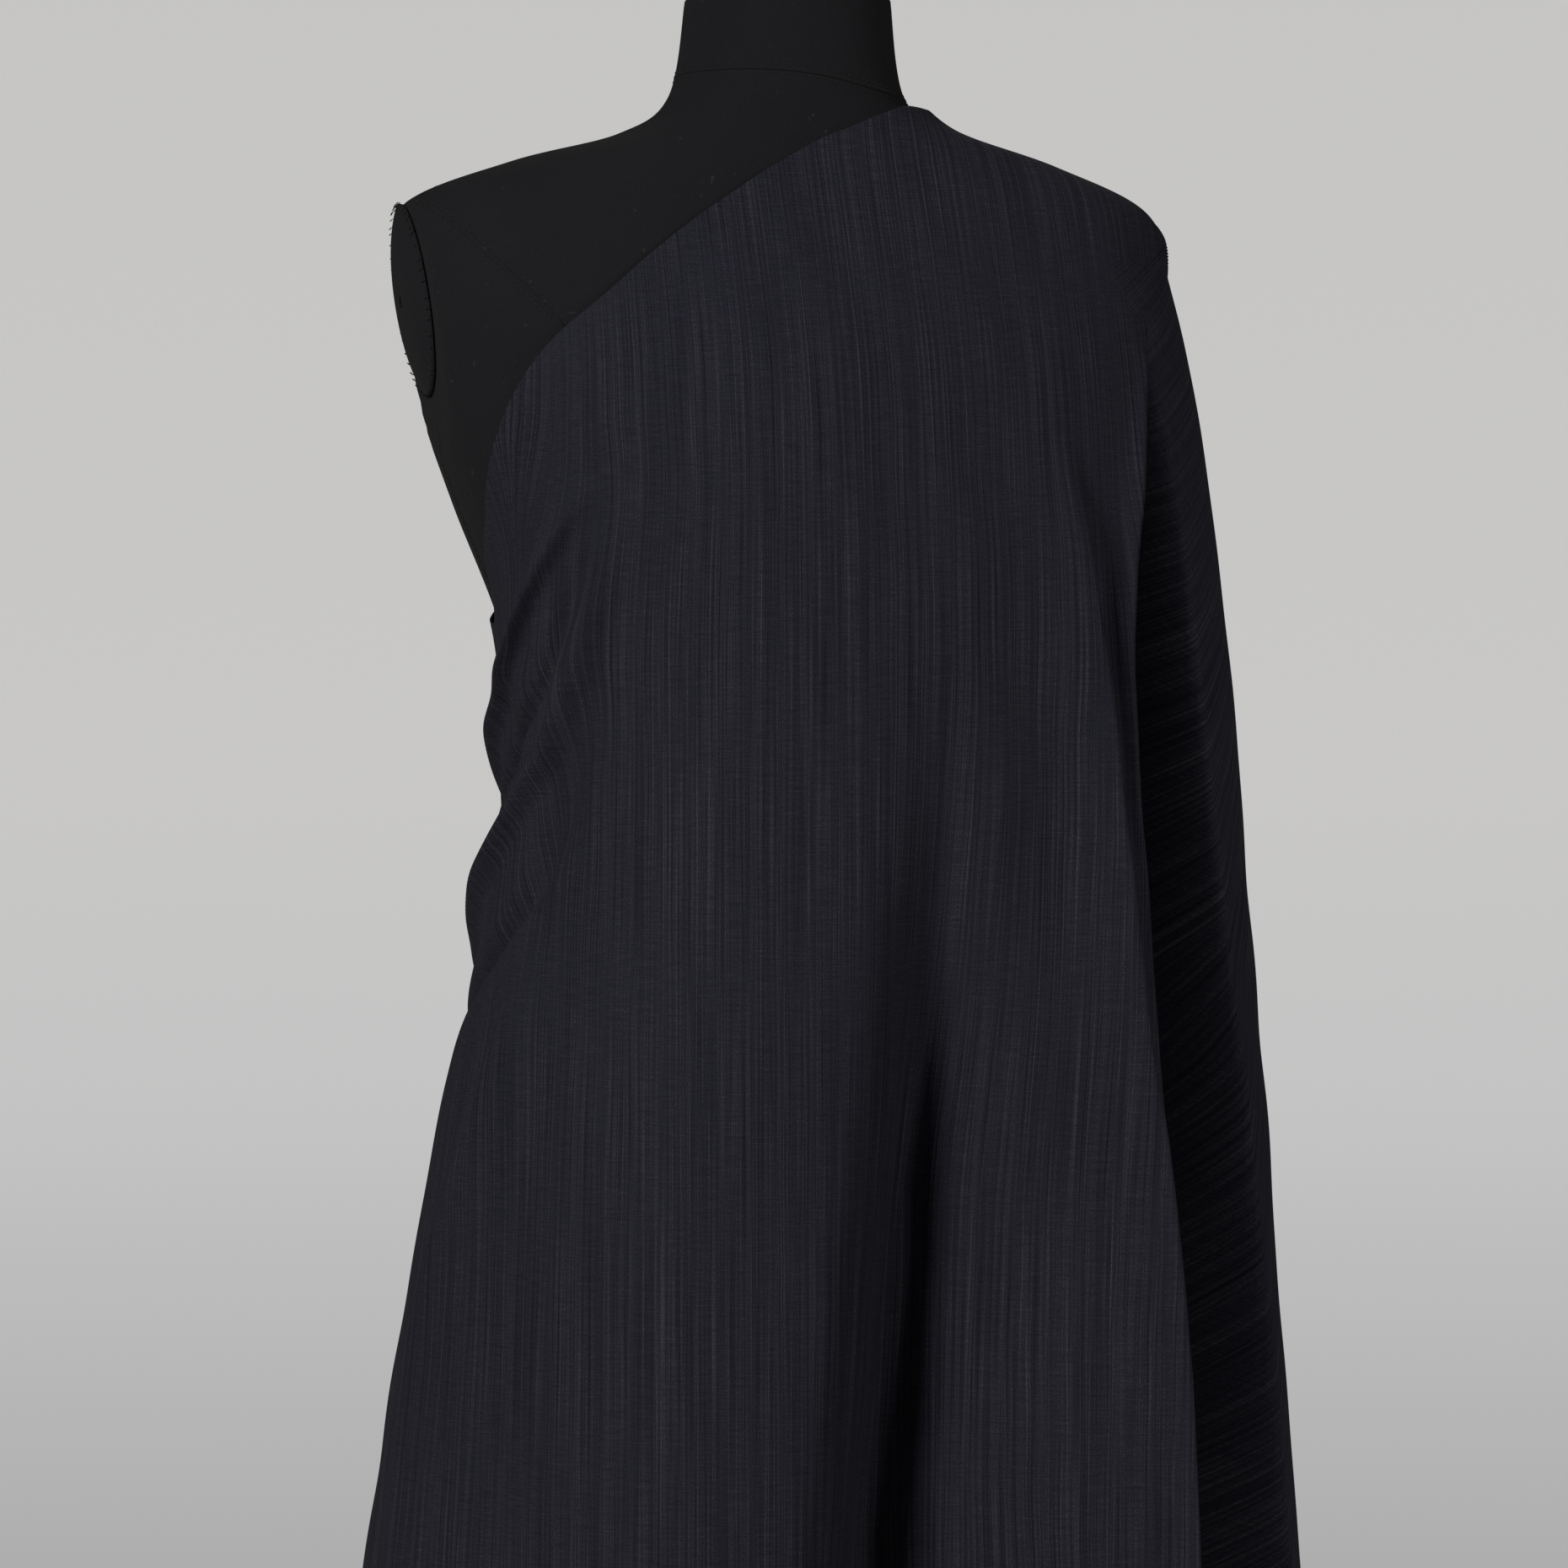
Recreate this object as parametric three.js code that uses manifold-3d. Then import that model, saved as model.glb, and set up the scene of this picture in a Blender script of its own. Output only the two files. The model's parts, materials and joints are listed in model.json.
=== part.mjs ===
// A dress form on a round weighted stand, with one length of suiting cloth draped over its left shoulder.
// Millimetres, +Z up. The origin is on the floor, on the axis of the pole. The form faces -Y.
import * as THREE from 'three';
import { mergeVertices } from 'three/addons/utils/BufferGeometryUtils.js';
import Module from 'manifold-3d';

const wasm = await Module();
wasm.setup();

// Driving dimensions
const GAP = 0.4; // air left between pieces that bear on each other
const FLOOR = 0;
const SHELL_WALL = 4;
const COVER_GAP = 1.2;
const COVER_THICKNESS = 0.9;
const CLOTH_THICKNESS = 2.4;
const SECTION_POWER = 2.2; // roundness of a body section: 2 is an ellipse, higher is squarer
const SHELL_COLUMNS = 16;
const SHELL_ROWS = 17;
const CLOTH_COLUMNS = 40;
const CLOTH_ROWS = 19;

const TORSO_BOTTOM = 780;
const NECK_TOP = 1470;

const ARM_CUT_LOW = { z: 1282, x: 172 };
const ARM_CUT_HIGH = { z: 1377, x: 187 };
const ARM_PLATE = { halfDepth: 26, halfHeight: 38, thickness: 2.5, y: 2 };

const POLE_RADIUS = 12.5;
const POLE_BORE = 10.5;
const POLE_BOTTOM = 300;
const POLE_TOP = 1240;
const COLUMN_RADIUS = 17;
const COLUMN_BORE = 15;
const COLUMN_BOTTOM = 16.2;
const COLUMN_TOP = 600;
const SOCKET_RADIUS = 15;
const SOCKET_BORE = 13;
const SOCKET_TOP = 1262;
const CLAMP_HEIGHT = 582;
const CLAMP_SCREW_RADIUS = 4;
const BOARD_BOTTOM = 795;
const BOARD_THICKNESS = 12;
const FLANGE_RADIUS = 42;
const FLANGE_THICKNESS = 3;
const FLANGE_SCREW_CIRCLE = 32;
const FLANGE_SCREWS = 4;
const SCREW_SHANK = 2.2;
const SCREW_HOLE = 2.6;
const BASE_RADIUS = 172;
const BASE_PAD_THICKNESS = 3;
const BASE_PLATE_THICKNESS = 12;
const BOSS_RADIUS = 44;
const BOSS_TOP = 74;
const BOSS_SCREW_CIRCLE = 34;
const BOSS_SCREWS = 4;
const BOSS_FOOT_THICKNESS = 6;
const SET_SCREW_RADIUS = 3;
const SET_SCREW_HOLE = 3.4;
const WOOD_SCREW_HEAD = { radius: 4.4, height: 2.2 };
const FLANGE_SCREW_LENGTH = 12;
const BOSS_SCREW_LENGTH = 14;
const THRUST_WASHER = { radius: 20, thickness: 2, play: 0.2 };
const STOP_COLLAR = { radius: 22, height: 14 };
const CLAMP_COLLAR = { radius: 26, halfHeight: 15, chamfer: 2 };
const CLAMP_SCREW_LENGTH = 34;
const KNOB = { radius: 20, lobeHeight: 3, lobes: 5, inner: 34, outer: 52, bevel: 2 };
const BUSH_DEPTH = 45;
const BUSH_LIP = 3.5;
const NECK_Y = -22; // the neck leans forward of the pole
const NECK_BLOCK = { bottom: 1414, top: NECK_TOP - 6, y: -21, radiusX: 43, radiusY: 40 };
const DOWEL_RADIUS = 6;
const DOWEL_BOTTOM = NECK_TOP - 40;
const CAP = { radiusX: 51, radiusY: 48, rim: 9, crown: 17, recess: 8 };

// Body sections from the bottom up: height, half width, centre, depth in front, depth behind.
// The half widths on the two sides are given apart, because the cloth hangs wider on the shoulder's side.
const TORSO_SECTIONS = [
  [TORSO_BOTTOM, 158, 158, 0, 96, 114],
  [850, 163, 163, 0, 100, 122],
  [930, 155, 155, 0, 98, 116],
  [1010, 136, 136, 0, 92, 98],
  [1095, 122, 122, 0, 86, 84],
  [1165, 134, 134, 0, 100, 90],
  [1232, 160, 160, 0, 126, 99],
  [1290, 181, 181, -2, 117, 104],
  [1343, 195, 195, -4, 95, 102],
  [1374, 188, 188, -8, 76, 88],
  [1395, 138, 138, -12, 63, 74],
  [1410, 84, 84, -16, 55, 60],
  [1430, 57, 57, -19, 50, 49],
  [NECK_TOP, 49, 49, -22, 46, 46],
];
const CLOTH_SECTIONS = [
  [350, 262, 305, 0, 205, 215],
  [530, 232, 285, 0, 180, 200],
  [706, 205, 268, 0, 155, 180],
  [815, 187, 258, 0, 146, 165],
  [930, 168, 249, 0, 140, 145],
  [1020, 148, 242, 0, 137, 122],
  [1106, 137, 236, 0, 137, 112],
  [1173, 150, 228, 0, 138, 112],
  [1235, 172, 221, 0, 140, 113],
  [1292, 192, 213, -2, 128, 115],
  [1349, 206, 206, -4, 106, 111],
  [1384, 200, 200, -8, 88, 99],
  [1407, 149, 149, -12, 75, 86],
  [1422, 95, 95, -16, 66, 72],
  [1436, 68, 68, -19, 60, 60],
];
const CLOTH_EDGE_LOWEST = 7; // the section that the cloth's upper edge dips to, under the right arm
const CLOTH_EDGE_SHAPE = 0.55;

// Outer surfaces
const WIDTH_LEFT = 1;
const WIDTH_RIGHT = 2;
const CENTRE = 3;
const FRONT = 4;
const BACK = 5;

function hermite(before, from, to, after, t) {
  const rise = (to - before) / 2;
  const fall = (after - from) / 2;
  const smooth = t * t * (3 - 2 * t);
  const lead = t * (1 - t) * (1 - t);
  const trail = t * t * (t - 1);
  return from + (to - from) * smooth + rise * lead + fall * trail;
}

function sectionAt(sections, position) {
  const last = sections.length - 1;
  const index = Math.min(Math.floor(position), last - 1);
  const before = sections[Math.max(index - 1, 0)];
  const after = sections[Math.min(index + 2, last)];
  return sections[index].map((value, k) =>
    hermite(before[k], value, sections[index + 1][k], after[k], position - index));
}

function pointOnSection(section, angle) {
  const across = Math.cos(angle);
  const along = Math.sin(angle);
  const width = across < 0 ? section[WIDTH_LEFT] : section[WIDTH_RIGHT];
  const depth = along < 0 ? section[FRONT] : section[BACK];
  const term = Math.abs(across / width) ** SECTION_POWER + Math.abs(along / depth) ** SECTION_POWER;
  const reach = term ** (-1 / SECTION_POWER);
  return new THREE.Vector3(reach * across, section[CENTRE] + reach * along, section[0]);
}

function armCutAt(z) {
  const slope = (ARM_CUT_HIGH.x - ARM_CUT_LOW.x) / (ARM_CUT_HIGH.z - ARM_CUT_LOW.z);
  return z < ARM_CUT_LOW.z - 60 ? Infinity : ARM_CUT_LOW.x + slope * (z - ARM_CUT_LOW.z);
}

function torsoSurface(angle, rise) {
  const section = sectionAt(TORSO_SECTIONS, rise * (TORSO_SECTIONS.length - 1));
  const point = pointOnSection(section, angle);
  const cut = armCutAt(point.z);
  point.x = THREE.MathUtils.clamp(point.x, -cut, cut);
  return point;
}

function clothSurface(angle, rise) {
  const last = CLOTH_SECTIONS.length - 1;
  const climb = ((1 + Math.cos(angle)) / 2) ** CLOTH_EDGE_SHAPE;
  const edge = CLOTH_EDGE_LOWEST + (last - CLOTH_EDGE_LOWEST) * climb;
  return pointOnSection(sectionAt(CLOTH_SECTIONS, rise * edge), angle);
}

function offsetSurface(surface, distance) {
  const step = 1e-3;
  return (angle, rise) => {
    const low = Math.max(rise - step, 0);
    const high = Math.min(rise + step, 1);
    const around = surface(angle + step, rise).sub(surface(angle - step, rise));
    const up = surface(angle, high).sub(surface(angle, low));
    return surface(angle, rise).addScaledVector(around.cross(up).normalize(), distance);
  };
}

// A closed solid between two surfaces of angle and rise. A full turn closes on itself; a part turn gets
// end walls, each drawn in by the seam's half width.
function wallBetween(outer, inner, from, turn, columns, rows, seam = 0) {
  const fullTurn = turn > 2 * Math.PI - 1e-6;
  const angleOf = (i) => THREE.MathUtils.clamp(from + (turn * i) / columns, from + seam, from + turn - seam);
  const count = fullTurn ? columns : columns + 1;
  const positions = [];
  for (const surface of [outer, inner]) {
    for (let j = 0; j <= rows; j += 1) {
      for (let i = 0; i < count; i += 1) {
        positions.push(...surface(angleOf(i), j / rows).toArray());
      }
    }
  }
  const at = (side, i, j) => (side * (rows + 1) + j) * count + (i % count);
  const index = [];
  const quad = (a, b, c, d) => index.push(a, b, c, a, c, d);
  for (let i = 0; i < columns; i += 1) {
    for (let j = 0; j < rows; j += 1) {
      quad(at(0, i, j), at(0, i + 1, j), at(0, i + 1, j + 1), at(0, i, j + 1));
      quad(at(1, i, j), at(1, i, j + 1), at(1, i + 1, j + 1), at(1, i + 1, j));
    }
    quad(at(0, i + 1, 0), at(0, i, 0), at(1, i, 0), at(1, i + 1, 0));
    quad(at(0, i, rows), at(0, i + 1, rows), at(1, i + 1, rows), at(1, i, rows));
  }
  for (let j = 0; j < rows && !fullTurn; j += 1) {
    quad(at(0, 0, j), at(0, 0, j + 1), at(1, 0, j + 1), at(1, 0, j));
    quad(at(0, columns, j + 1), at(0, columns, j), at(1, columns, j), at(1, columns, j + 1));
  }
  const geometry = new THREE.BufferGeometry();
  geometry.setAttribute('position', new THREE.Float32BufferAttribute(positions, 3));
  geometry.setIndex(index);
  geometry.computeVertexNormals();
  return geometry;
}

// Plain solids
function turned(profile, segments = 20) {
  const points = [...profile, profile[0]].map(([radius, z]) => new THREE.Vector2(radius, z));
  return new THREE.LatheGeometry(points, segments).rotateX(Math.PI / 2);
}

function tube(outerRadius, innerRadius, bottom, top, segments = 20) {
  const section = [[innerRadius, bottom], [outerRadius, bottom], [outerRadius, top], [innerRadius, top]];
  return turned(section, segments);
}

function rod(radius, bottom, top, segments = 16) {
  return new THREE.CylinderGeometry(radius, radius, top - bottom, segments)
    .rotateX(Math.PI / 2)
    .translate(0, 0, (bottom + top) / 2);
}

function roundHole(x, y, radius) {
  return new THREE.Path().absarc(x, y, radius, 0, 2 * Math.PI, true);
}

function extruded(shape, bottom, top, bevel = 0) {
  const options = {
    depth: top - bottom - 2 * bevel,
    curveSegments: 9,
    bevelEnabled: bevel > 0,
    bevelThickness: bevel,
    bevelSize: bevel,
    bevelOffset: -bevel,
    bevelSegments: 1,
  };
  return new THREE.ExtrudeGeometry(shape, options).translate(0, 0, bottom + bevel);
}

// A countersunk screw standing on its tip, its head's top at z = 0
function screw(shankRadius, headRadius, headHeight, length) {
  return turned([
    [0, -length],
    [shankRadius * 0.6, -length],
    [shankRadius, -length + shankRadius],
    [shankRadius, -headHeight],
    [headRadius, -headHeight],
    [headRadius, -headHeight * 0.4],
    [headRadius * 0.75, 0],
    [0, 0],
  ], 10);
}

function woodScrew(length) {
  return screw(SCREW_SHANK, WOOD_SCREW_HEAD.radius, WOOD_SCREW_HEAD.height, length);
}

// Lays a piece that was made upright along +X, with its axis at the given height
function sideways(geometry, height) {
  return geometry.rotateY(Math.PI / 2).translate(0, 0, height);
}

function toSolid(geometry) {
  const bare = geometry.clone();
  bare.deleteAttribute('normal');
  bare.deleteAttribute('uv');
  const merged = mergeVertices(bare, 1e-4);
  const mesh = new wasm.Mesh({
    numProp: 3,
    vertProperties: new Float32Array(merged.attributes.position.array),
    triVerts: new Uint32Array(merged.index.array),
  });
  return new wasm.Manifold(mesh);
}

function toGeometry(solid) {
  const mesh = solid.getMesh();
  const geometry = new THREE.BufferGeometry();
  geometry.setAttribute('position', new THREE.BufferAttribute(mesh.vertProperties, 3));
  geometry.setIndex(new THREE.BufferAttribute(mesh.triVerts, 1));
  return geometry;
}

function cut(geometry, ...tools) {
  return toGeometry(tools.reduce((solid, tool) => solid.subtract(toSolid(tool)), toSolid(geometry)));
}

// Materials
function finish(color, roughness, metalness = 0) {
  return () => new THREE.MeshStandardMaterial({ color, roughness, metalness });
}
const SUITING = finish(0x24242a, 0.95);
const JERSEY = finish(0x1e1e22, 0.9);
const SHELL_BOARD = finish(0x8a7a62, 0.9);
const DARK_WOOD = finish(0x4a3c30, 0.5);
const PLYWOOD = finish(0x9a7c55, 0.7);
const BLACK_STEEL = finish(0x17171a, 0.45, 0.6);
const BRIGHT_STEEL = finish(0xb4b4b4, 0.3, 1);
const SCREW_STEEL = finish(0x8c8c8c, 0.4, 1);
const BRONZE = finish(0x8a6a3c, 0.4, 1);
const BLACK_PLASTIC = finish(0x1a1a1a, 0.55);
const BLACK_RUBBER = finish(0x141414, 0.85);

const dressForm = new THREE.Group();

function place(parent, name, geometry, material) {
  const mesh = new THREE.Mesh(geometry, material());
  mesh.name = name;
  parent.add(mesh);
  return mesh;
}

// Torso: a shell in two halves inside a jersey cover
function addTorso() {
  const inner = offsetSurface(torsoSurface, -SHELL_WALL);
  const seam = 0.006; // radians left open on each side of the join between the halves
  const halves = [['torso_shell_front', -Math.PI], ['torso_shell_back', 0]];
  for (const [name, start] of halves) {
    const shell = wallBetween(torsoSurface, inner, start, Math.PI, SHELL_COLUMNS, SHELL_ROWS, seam);
    place(dressForm, name, shell, SHELL_BOARD);
  }
  const coverInner = offsetSurface(torsoSurface, COVER_GAP);
  const coverOuter = offsetSurface(torsoSurface, COVER_GAP + COVER_THICKNESS);
  const cover = wallBetween(coverOuter, coverInner, 0, 2 * Math.PI, 2 * SHELL_COLUMNS, SHELL_ROWS);
  place(dressForm, 'jersey_cover', cover, JERSEY);
}

// Arm plates: an oval disc screwed over each slanting arm cut
function addArmPlates() {
  const middle = (ARM_CUT_LOW.z + ARM_CUT_HIGH.z) / 2;
  const lean = Math.atan2(ARM_CUT_HIGH.x - ARM_CUT_LOW.x, ARM_CUT_HIGH.z - ARM_CUT_LOW.z);
  const standOff = COVER_GAP + COVER_THICKNESS + GAP;
  for (const [side, turn] of [['left', 0], ['right', Math.PI]]) {
    const frame = new THREE.Group();
    const tilted = new THREE.Group();
    frame.rotation.z = turn;
    tilted.position.set(armCutAt(middle), 0, middle);
    tilted.rotation.y = Math.PI / 2 + lean;
    const outline = new THREE.Shape();
    const y = Math.cos(turn) * ARM_PLATE.y;
    outline.absellipse(0, y, ARM_PLATE.halfHeight, ARM_PLATE.halfDepth, 0, 2 * Math.PI, false, 0);
    outline.holes.push(roundHole(0, y, SCREW_HOLE));
    const plate = extruded(outline, standOff, standOff + ARM_PLATE.thickness);
    place(tilted, `arm_plate_${side}`, plate, BLACK_PLASTIC);
    const head = turned([[0, 0], [4.5, 0], [3.2, 1.4], [0, 1.8]], 10);
    head.translate(0, y, standOff + ARM_PLATE.thickness + GAP);
    place(tilted, `arm_screw_${side}`, head, SCREW_STEEL);
    frame.add(tilted);
    dressForm.add(frame);
  }
}

// Neck: a wooden block inside it, and a cap with a finial on a dowel
function addNeck() {
  const outline = new THREE.Shape();
  outline.absellipse(0, NECK_BLOCK.y, NECK_BLOCK.radiusX, NECK_BLOCK.radiusY, 0, 2 * Math.PI, false, 0);
  outline.holes.push(roundHole(0, NECK_Y, DOWEL_RADIUS + GAP));
  place(dressForm, 'neck_block', extruded(outline, NECK_BLOCK.bottom, NECK_BLOCK.top), PLYWOOD);

  const seat = NECK_TOP + COVER_GAP + COVER_THICKNESS + GAP;
  const recess = seat + CAP.recess;
  const dowel = rod(DOWEL_RADIUS, DOWEL_BOTTOM, recess - GAP).translate(0, NECK_Y, 0);
  place(dressForm, 'neck_dowel', dowel, PLYWOOD);

  const cap = turned([
    [0, recess],
    [DOWEL_RADIUS + GAP, recess],
    [DOWEL_RADIUS + GAP, seat],
    [CAP.radiusX - 2, seat],
    [CAP.radiusX, seat + 2],
    [CAP.radiusX, seat + CAP.rim - 2],
    [CAP.radiusX - 3, seat + CAP.rim],
    [CAP.radiusX * 0.62, seat + CAP.rim + 5],
    [14, seat + CAP.crown],
    [0, seat + CAP.crown],
  ], 28);
  cap.scale(1, CAP.radiusY / CAP.radiusX, 1).translate(0, NECK_Y, 0);
  place(dressForm, 'neck_cap', cap, DARK_WOOD);

  const foot = seat + CAP.crown + GAP;
  const finial = turned([
    [0, foot],
    [12, foot],
    [13, foot + 3],
    [7, foot + 7],
    [6, foot + 12],
    [10, foot + 17],
    [14, foot + 23],
    [14, foot + 28],
    [10, foot + 34],
    [4, foot + 38],
    [0, foot + 39],
  ], 16).translate(0, NECK_Y, 0);
  place(dressForm, 'neck_finial', finial, DARK_WOOD);
}

// Underside of the torso: a board, and a flange with the sleeve that slips over the pole
function addSocket() {
  const boardMiddle = BOARD_BOTTOM + BOARD_THICKNESS / 2;
  const sectionRise = TORSO_SECTIONS[1][0] - TORSO_BOTTOM;
  const rise = (boardMiddle - TORSO_BOTTOM) / sectionRise / (TORSO_SECTIONS.length - 1);
  const edge = offsetSurface(torsoSurface, -SHELL_WALL - 1.5);
  const points = [];
  for (let i = 0; i < 2 * SHELL_COLUMNS; i += 1) {
    const point = edge((i * Math.PI) / SHELL_COLUMNS, rise);
    points.push(new THREE.Vector2(point.x, point.y));
  }
  const boardOutline = new THREE.Shape(points);
  const flangeOutline = new THREE.Shape();
  flangeOutline.absarc(0, 0, FLANGE_RADIUS, 0, 2 * Math.PI, false);
  flangeOutline.holes.push(roundHole(0, 0, POLE_RADIUS + GAP));
  boardOutline.holes.push(roundHole(0, 0, SOCKET_RADIUS + GAP));
  const flangeTop = BOARD_BOTTOM - GAP;
  const flangeBottom = flangeTop - FLANGE_THICKNESS;
  for (let i = 0; i < FLANGE_SCREWS; i += 1) {
    const angle = ((i + 0.5) * 2 * Math.PI) / FLANGE_SCREWS;
    const x = FLANGE_SCREW_CIRCLE * Math.cos(angle);
    const y = FLANGE_SCREW_CIRCLE * Math.sin(angle);
    flangeOutline.holes.push(roundHole(x, y, SCREW_HOLE));
    boardOutline.holes.push(roundHole(x, y, SCREW_HOLE));
    const head = flangeBottom - GAP - WOOD_SCREW_HEAD.height;
    const fixing = woodScrew(FLANGE_SCREW_LENGTH).rotateX(Math.PI).translate(x, y, head);
    place(dressForm, `flange_screw_${i + 1}`, fixing, SCREW_STEEL);
  }
  const board = extruded(boardOutline, BOARD_BOTTOM, BOARD_BOTTOM + BOARD_THICKNESS);
  const sleeve = tube(SOCKET_RADIUS, SOCKET_BORE, flangeTop + GAP, SOCKET_TOP);
  place(dressForm, 'bottom_board', board, PLYWOOD);
  place(dressForm, 'socket_flange', extruded(flangeOutline, flangeBottom, flangeTop), BLACK_STEEL);
  place(dressForm, 'socket_tube', sleeve, BRIGHT_STEEL);
  const cap = turned([
    [0, SOCKET_TOP - 10],
    [SOCKET_BORE - GAP, SOCKET_TOP - 10],
    [SOCKET_BORE - GAP, SOCKET_TOP + GAP],
    [SOCKET_RADIUS, SOCKET_TOP + GAP],
    [SOCKET_RADIUS - 2, SOCKET_TOP + 4],
    [0, SOCKET_TOP + 4],
  ]);
  place(dressForm, 'socket_cap', cap, BLACK_PLASTIC);

  const poleHole = POLE_RADIUS + GAP;
  const washerTop = flangeBottom - GAP - THRUST_WASHER.play;
  const washerBottom = washerTop - THRUST_WASHER.thickness;
  place(dressForm, 'thrust_washer', tube(THRUST_WASHER.radius, poleHole, washerBottom, washerTop), BRONZE);
  const collarTop = washerBottom - GAP;
  const collarBottom = collarTop - STOP_COLLAR.height;
  const screwHeight = (collarTop + collarBottom) / 2;
  const screwHole = sideways(rod(SET_SCREW_HOLE, 0, 2 * STOP_COLLAR.radius), screwHeight);
  const collar = tube(STOP_COLLAR.radius, poleHole, collarBottom, collarTop);
  place(dressForm, 'stop_collar', cut(collar, screwHole), BLACK_STEEL);
  const setScrew = sideways(rod(SET_SCREW_RADIUS, poleHole, STOP_COLLAR.radius - 1), screwHeight);
  place(dressForm, 'stop_set_screw', setScrew, SCREW_STEEL);
}

// The pole, the column that it slides in, and the clamp that holds its height
function addColumn() {
  place(dressForm, 'inner_pole', tube(POLE_RADIUS, POLE_BORE, POLE_BOTTOM, POLE_TOP), BRIGHT_STEEL);
  const screwHole = sideways(rod(CLAMP_SCREW_RADIUS + GAP, 0, KNOB.outer), CLAMP_HEIGHT);
  const column = tube(COLUMN_RADIUS, COLUMN_BORE, COLUMN_BOTTOM, COLUMN_TOP);
  place(dressForm, 'column_tube', cut(column, screwHole), BLACK_STEEL);
  const bush = turned([
    [POLE_RADIUS + GAP, COLUMN_TOP - BUSH_DEPTH],
    [COLUMN_BORE - GAP, COLUMN_TOP - BUSH_DEPTH],
    [COLUMN_BORE - GAP, COLUMN_TOP + GAP],
    [COLUMN_RADIUS + 1, COLUMN_TOP + GAP],
    [COLUMN_RADIUS, COLUMN_TOP + BUSH_LIP],
    [POLE_RADIUS + GAP, COLUMN_TOP + BUSH_LIP],
  ]);
  place(dressForm, 'column_bush', cut(bush, screwHole), BLACK_PLASTIC);
  const { radius, halfHeight, chamfer } = CLAMP_COLLAR;
  const collar = turned([
    [COLUMN_RADIUS + GAP, CLAMP_HEIGHT - halfHeight],
    [radius - chamfer, CLAMP_HEIGHT - halfHeight],
    [radius, CLAMP_HEIGHT - halfHeight + 1.5 * chamfer],
    [radius, CLAMP_HEIGHT + halfHeight - 1.5 * chamfer],
    [radius - chamfer, CLAMP_HEIGHT + halfHeight],
    [COLUMN_RADIUS + GAP, CLAMP_HEIGHT + halfHeight],
  ]);
  place(dressForm, 'clamp_collar', cut(collar, screwHole), BLACK_STEEL);
}

function addClamp() {
  const tip = POLE_RADIUS + GAP;
  const clampScrew = sideways(rod(CLAMP_SCREW_RADIUS, tip, tip + CLAMP_SCREW_LENGTH), CLAMP_HEIGHT);
  place(dressForm, 'clamp_screw', clampScrew, SCREW_STEEL);
  const steps = 8 * KNOB.lobes;
  const points = [];
  for (let i = 0; i < steps; i += 1) {
    const angle = (i * 2 * Math.PI) / steps;
    const radius = KNOB.radius + KNOB.lobeHeight * Math.cos(KNOB.lobes * angle);
    points.push(new THREE.Vector2(radius * Math.cos(angle), radius * Math.sin(angle)));
  }
  const outline = new THREE.Shape(points);
  outline.holes.push(roundHole(0, 0, CLAMP_SCREW_RADIUS + GAP));
  const knob = sideways(extruded(outline, KNOB.inner, KNOB.outer, KNOB.bevel), CLAMP_HEIGHT);
  place(dressForm, 'clamp_knob', knob, BLACK_PLASTIC);
}

// The base: a rubber sheet, a heavy round plate and the boss that the column stands in
function addBase() {
  const sheetTop = FLOOR + BASE_PAD_THICKNESS;
  const pad = turned([
    [0, FLOOR],
    [BASE_RADIUS - 8, FLOOR],
    [BASE_RADIUS - 8, sheetTop],
    [0, sheetTop],
  ], 48);
  place(dressForm, 'base_pad', pad, BLACK_RUBBER);

  const plateBottom = sheetTop + GAP;
  const plateTop = plateBottom + BASE_PLATE_THICKNESS;
  const plate = turned([
    [0, plateBottom],
    [BASE_RADIUS - 2, plateBottom],
    [BASE_RADIUS, plateBottom + 2],
    [BASE_RADIUS, plateTop - 5],
    [BASE_RADIUS - 2, plateTop - 2],
    [BASE_RADIUS - 6, plateTop],
    [0, plateTop],
  ], 48);
  const bossBottom = plateTop + GAP;
  const shoulder = bossBottom + BOSS_FOOT_THICKNESS;
  const boss = turned([
    [COLUMN_RADIUS + GAP, bossBottom],
    [BOSS_RADIUS, bossBottom],
    [BOSS_RADIUS, shoulder - 1],
    [BOSS_RADIUS - 1, shoulder],
    [28, shoulder],
    [25, shoulder + 4],
    [23, BOSS_TOP - 2],
    [21, BOSS_TOP],
    [COLUMN_RADIUS + GAP, BOSS_TOP],
  ], 32);
  const holes = [];
  for (let i = 0; i < BOSS_SCREWS; i += 1) {
    const angle = ((i + 0.5) * 2 * Math.PI) / BOSS_SCREWS;
    const x = BOSS_SCREW_CIRCLE * Math.cos(angle);
    const y = BOSS_SCREW_CIRCLE * Math.sin(angle);
    holes.push(rod(SCREW_HOLE, plateTop - 8, BOSS_TOP).translate(x, y, 0));
    const head = shoulder + GAP + WOOD_SCREW_HEAD.height;
    const fixing = woodScrew(BOSS_SCREW_LENGTH).translate(x, y, head);
    place(dressForm, `boss_screw_${i + 1}`, fixing, SCREW_STEEL);
  }
  const setScrewHeight = BOSS_TOP - 14;
  const setScrewEnd = 23;
  const setScrewHole = rod(SET_SCREW_HOLE, 0, BOSS_RADIUS).rotateX(Math.PI / 2);
  const setScrew = rod(SET_SCREW_RADIUS, COLUMN_RADIUS + GAP, setScrewEnd).rotateX(Math.PI / 2);
  setScrewHole.translate(0, 0, setScrewHeight);
  setScrew.translate(0, 0, setScrewHeight);
  place(dressForm, 'base_plate', cut(plate, ...holes), BLACK_STEEL);
  place(dressForm, 'base_boss', cut(boss, ...holes, setScrewHole), BLACK_STEEL);
  place(dressForm, 'boss_set_screw', setScrew, SCREW_STEEL);
}

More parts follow.
